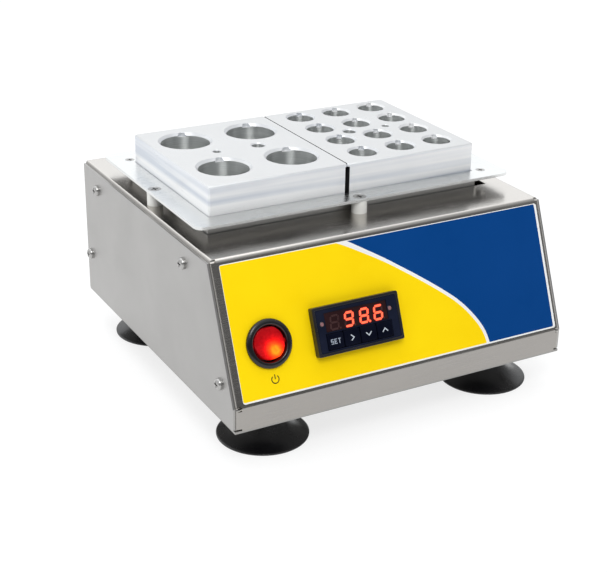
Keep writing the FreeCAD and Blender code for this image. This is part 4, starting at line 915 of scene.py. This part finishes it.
# ------------------------------------------------------------------ suction-cup feet
FEET = (("foot_front_left", 29.1, 0.6), ("foot_front_right", 162.9, 0.6), ("foot_back_left", 29.1, 133.4), ("foot_back_right", 162.9, 133.4))
for node, x, y in FEET:
    bm = bmesh.new()
    prof = [(2.4, 9.0), (2.4, 20.0), (8.35, 20.0), (8.6, 19.75), (8.6, 18.2)]
    prof += [(26.0938 + 17.5 * math.cos(math.radians(a)), 18.4651 + 17.5 * math.sin(math.radians(a))) for a in [181.5 + (255.0 - 181.5) * i / 20 for i in range(21)]][1:]
    prof += [(22.4, 1.28), (23.05, 1.02), (23.3, 0.8), (23.3, 0.3), (23.1, 0.08), (22.8, 0.0), (21.4, 0.0), (20.9, 0.22), (20.3, 0.7)]
    prof += [(24.8276 + 30 * math.cos(math.radians(a)), 30.3564 + 30 * math.sin(math.radians(a))) for a in [261.3 + (231.1 - 261.3) * i / 10 for i in range(11)]][1:]
    prof += [(3.0, 7.3), (0, 7.4), (0, 9.0)]
    lathe(bm, prof, 96)
    o = obj(node + "_cup", bm, CASE @ Matrix.Translation((x, y, -98.0)), mats=[MAT["foot_rubber"].m], smooth=42)
    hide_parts(node)

# ------------------------------------------------------------------ floor, light, camera
SKY_SIDE, SKY_TOP, SKY_DIM, SKY_BACK = 0.50, 0.90, 0.66, 0.85
FLOOR = Mat("floor_paper", (0.26, 0.26, 0.26), 0.85)
FLOOR.set("Emission Color", (1.0, 1.0, 1.0, 1.0))
FLOOR.set("Emission Strength", 0.74)
fn = FLOOR.noise(FLOOR.space((0.004, 0.004, 0.004)), 1.0, 3.0)
FLOOR.to("Base Color", FLOOR.mix(FLOOR.span(fn, 0, 1, 0.3, 0.7), (0.25, 0.25, 0.25), (0.27, 0.27, 0.27)))
bm = bmesh.new()
bmesh.ops.create_grid(bm, x_segments=2, y_segments=2, size=4000.0)
me = bpy.data.meshes.new("floor")
bm.to_mesh(me)
bm.free()
me.transform(Matrix.Scale(MM, 4))
floor = bpy.data.objects.new("floor", me)
me.materials.append(FLOOR.m)
bpy.context.scene.collection.objects.link(floor)
floor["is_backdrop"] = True

world = bpy.data.worlds.new("studio")
bpy.context.scene.world = world
world.use_nodes = True
wt = world.node_tree
bg = next(n for n in wt.nodes if n.type == "BACKGROUND")
bg.inputs["Strength"].default_value = 1.0


def wnode(kind, ins=(), **kw):
    n = wt.nodes.new(kind)
    for k, v in kw.items():
        setattr(n, k, v)
    for i, v in enumerate(ins):
        if v is None:
            continue
        if isinstance(v, (int, float)):
            n.inputs[i].default_value = v
        else:
            wt.links.new(v, n.inputs[i])
    return n.outputs[0]


# studio: white all round, brighter overhead, dim low down on the side the camera is on
tc = wt.nodes.new("ShaderNodeTexCoord")
sp = wt.nodes.new("ShaderNodeSeparateXYZ")
wt.links.new(tc.outputs["Generated"], sp.inputs[0])


def smooth(v, a, b, lo, hi):
    n = wt.nodes.new("ShaderNodeMapRange")
    n.interpolation_type = "SMOOTHSTEP"
    wt.links.new(v, n.inputs["Value"])
    for k, x in (("From Min", a), ("From Max", b), ("To Min", lo), ("To Max", hi)):
        n.inputs[k].default_value = x
    return n.outputs["Result"]


toward = wnode("ShaderNodeMath", (wnode("ShaderNodeMath", (sp.outputs["Y"], -0.85), operation="MULTIPLY"), wnode("ShaderNodeMath", (sp.outputs["X"], -0.25), operation="MULTIPLY")), operation="ADD")
front = smooth(toward, 0.05, 0.75, 0.0, 1.0)
low = smooth(sp.outputs["Z"], 0.30, 0.75, 1.0, 0.0)
dark = wnode("ShaderNodeMath", (front, low), operation="MULTIPLY")
behind = smooth(sp.outputs["Y"], 0.0, 0.75, 0.0, SKY_BACK)
sky = wnode("ShaderNodeMath", (smooth(sp.outputs["Z"], 0.25, 0.9, SKY_SIDE, SKY_TOP), wnode("ShaderNodeMath", (behind, smooth(sp.outputs["Z"], 0.1, 0.35, 0.3, 1.0)), operation="MULTIPLY")), operation="ADD")
amount = wnode("ShaderNodeMath", (sky, wnode("ShaderNodeMath", (1.0, wnode("ShaderNodeMath", (dark, SKY_DIM), operation="MULTIPLY")), operation="SUBTRACT")), operation="MULTIPLY")
wt.links.new(amount, bg.inputs["Strength"])
bg.inputs["Color"].default_value = (0.97, 0.985, 1.0, 1)


def area(name, loc, target, size, power, color=(1, 1, 1), size_y=None):
    l = bpy.data.lights.new(name, "AREA")
    l.energy, l.color, l.size = power, color, size
    if size_y:
        l.shape, l.size_y = "RECTANGLE", size_y
    o = bpy.data.objects.new(name, l)
    o.location = loc
    o.rotation_euler = (Vector(target) - Vector(loc)).to_track_quat("-Z", "Y").to_euler()
    bpy.context.scene.collection.objects.link(o)
    return o


area("top_soft", (0.0, 0.1, 1.15), (0, 0, 0.08), 1.0, 2.6)
area("front_soft", (-0.42, -0.92, 1.30), (0, 0, 0.05), 0.6, 8.4)
area("left_soft", (-1.3, -0.3, 0.75), (0, 0, 0.05), 0.7, 1.0)

cam = bpy.data.cameras.new("camera")
cam.lens = 1332.066 * 36.0 / 607.0
cam.sensor_width = 36.0
cam.clip_start, cam.clip_end = 0.05, 20
co = bpy.data.objects.new("camera", cam)
R = Vector((0.87477377, -0.48427543, 0.01575281))
U = Vector((0.18463322, 0.36321928, 0.91322633))
F = Vector((0.4479748, 0.79595795, -0.40714803))
co.matrix_world = Matrix(((R.x, U.x, -F.x, -0.333601), (R.y, U.y, -F.y, -0.5816), (R.z, U.z, -F.z, 0.337390), (0, 0, 0, 1)))
bpy.context.scene.collection.objects.link(co)
bpy.context.scene.camera = co
bpy.context.scene.view_settings.view_transform = "Standard"
bpy.context.scene.view_settings.look = "None"

a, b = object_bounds(), CAD_BOX
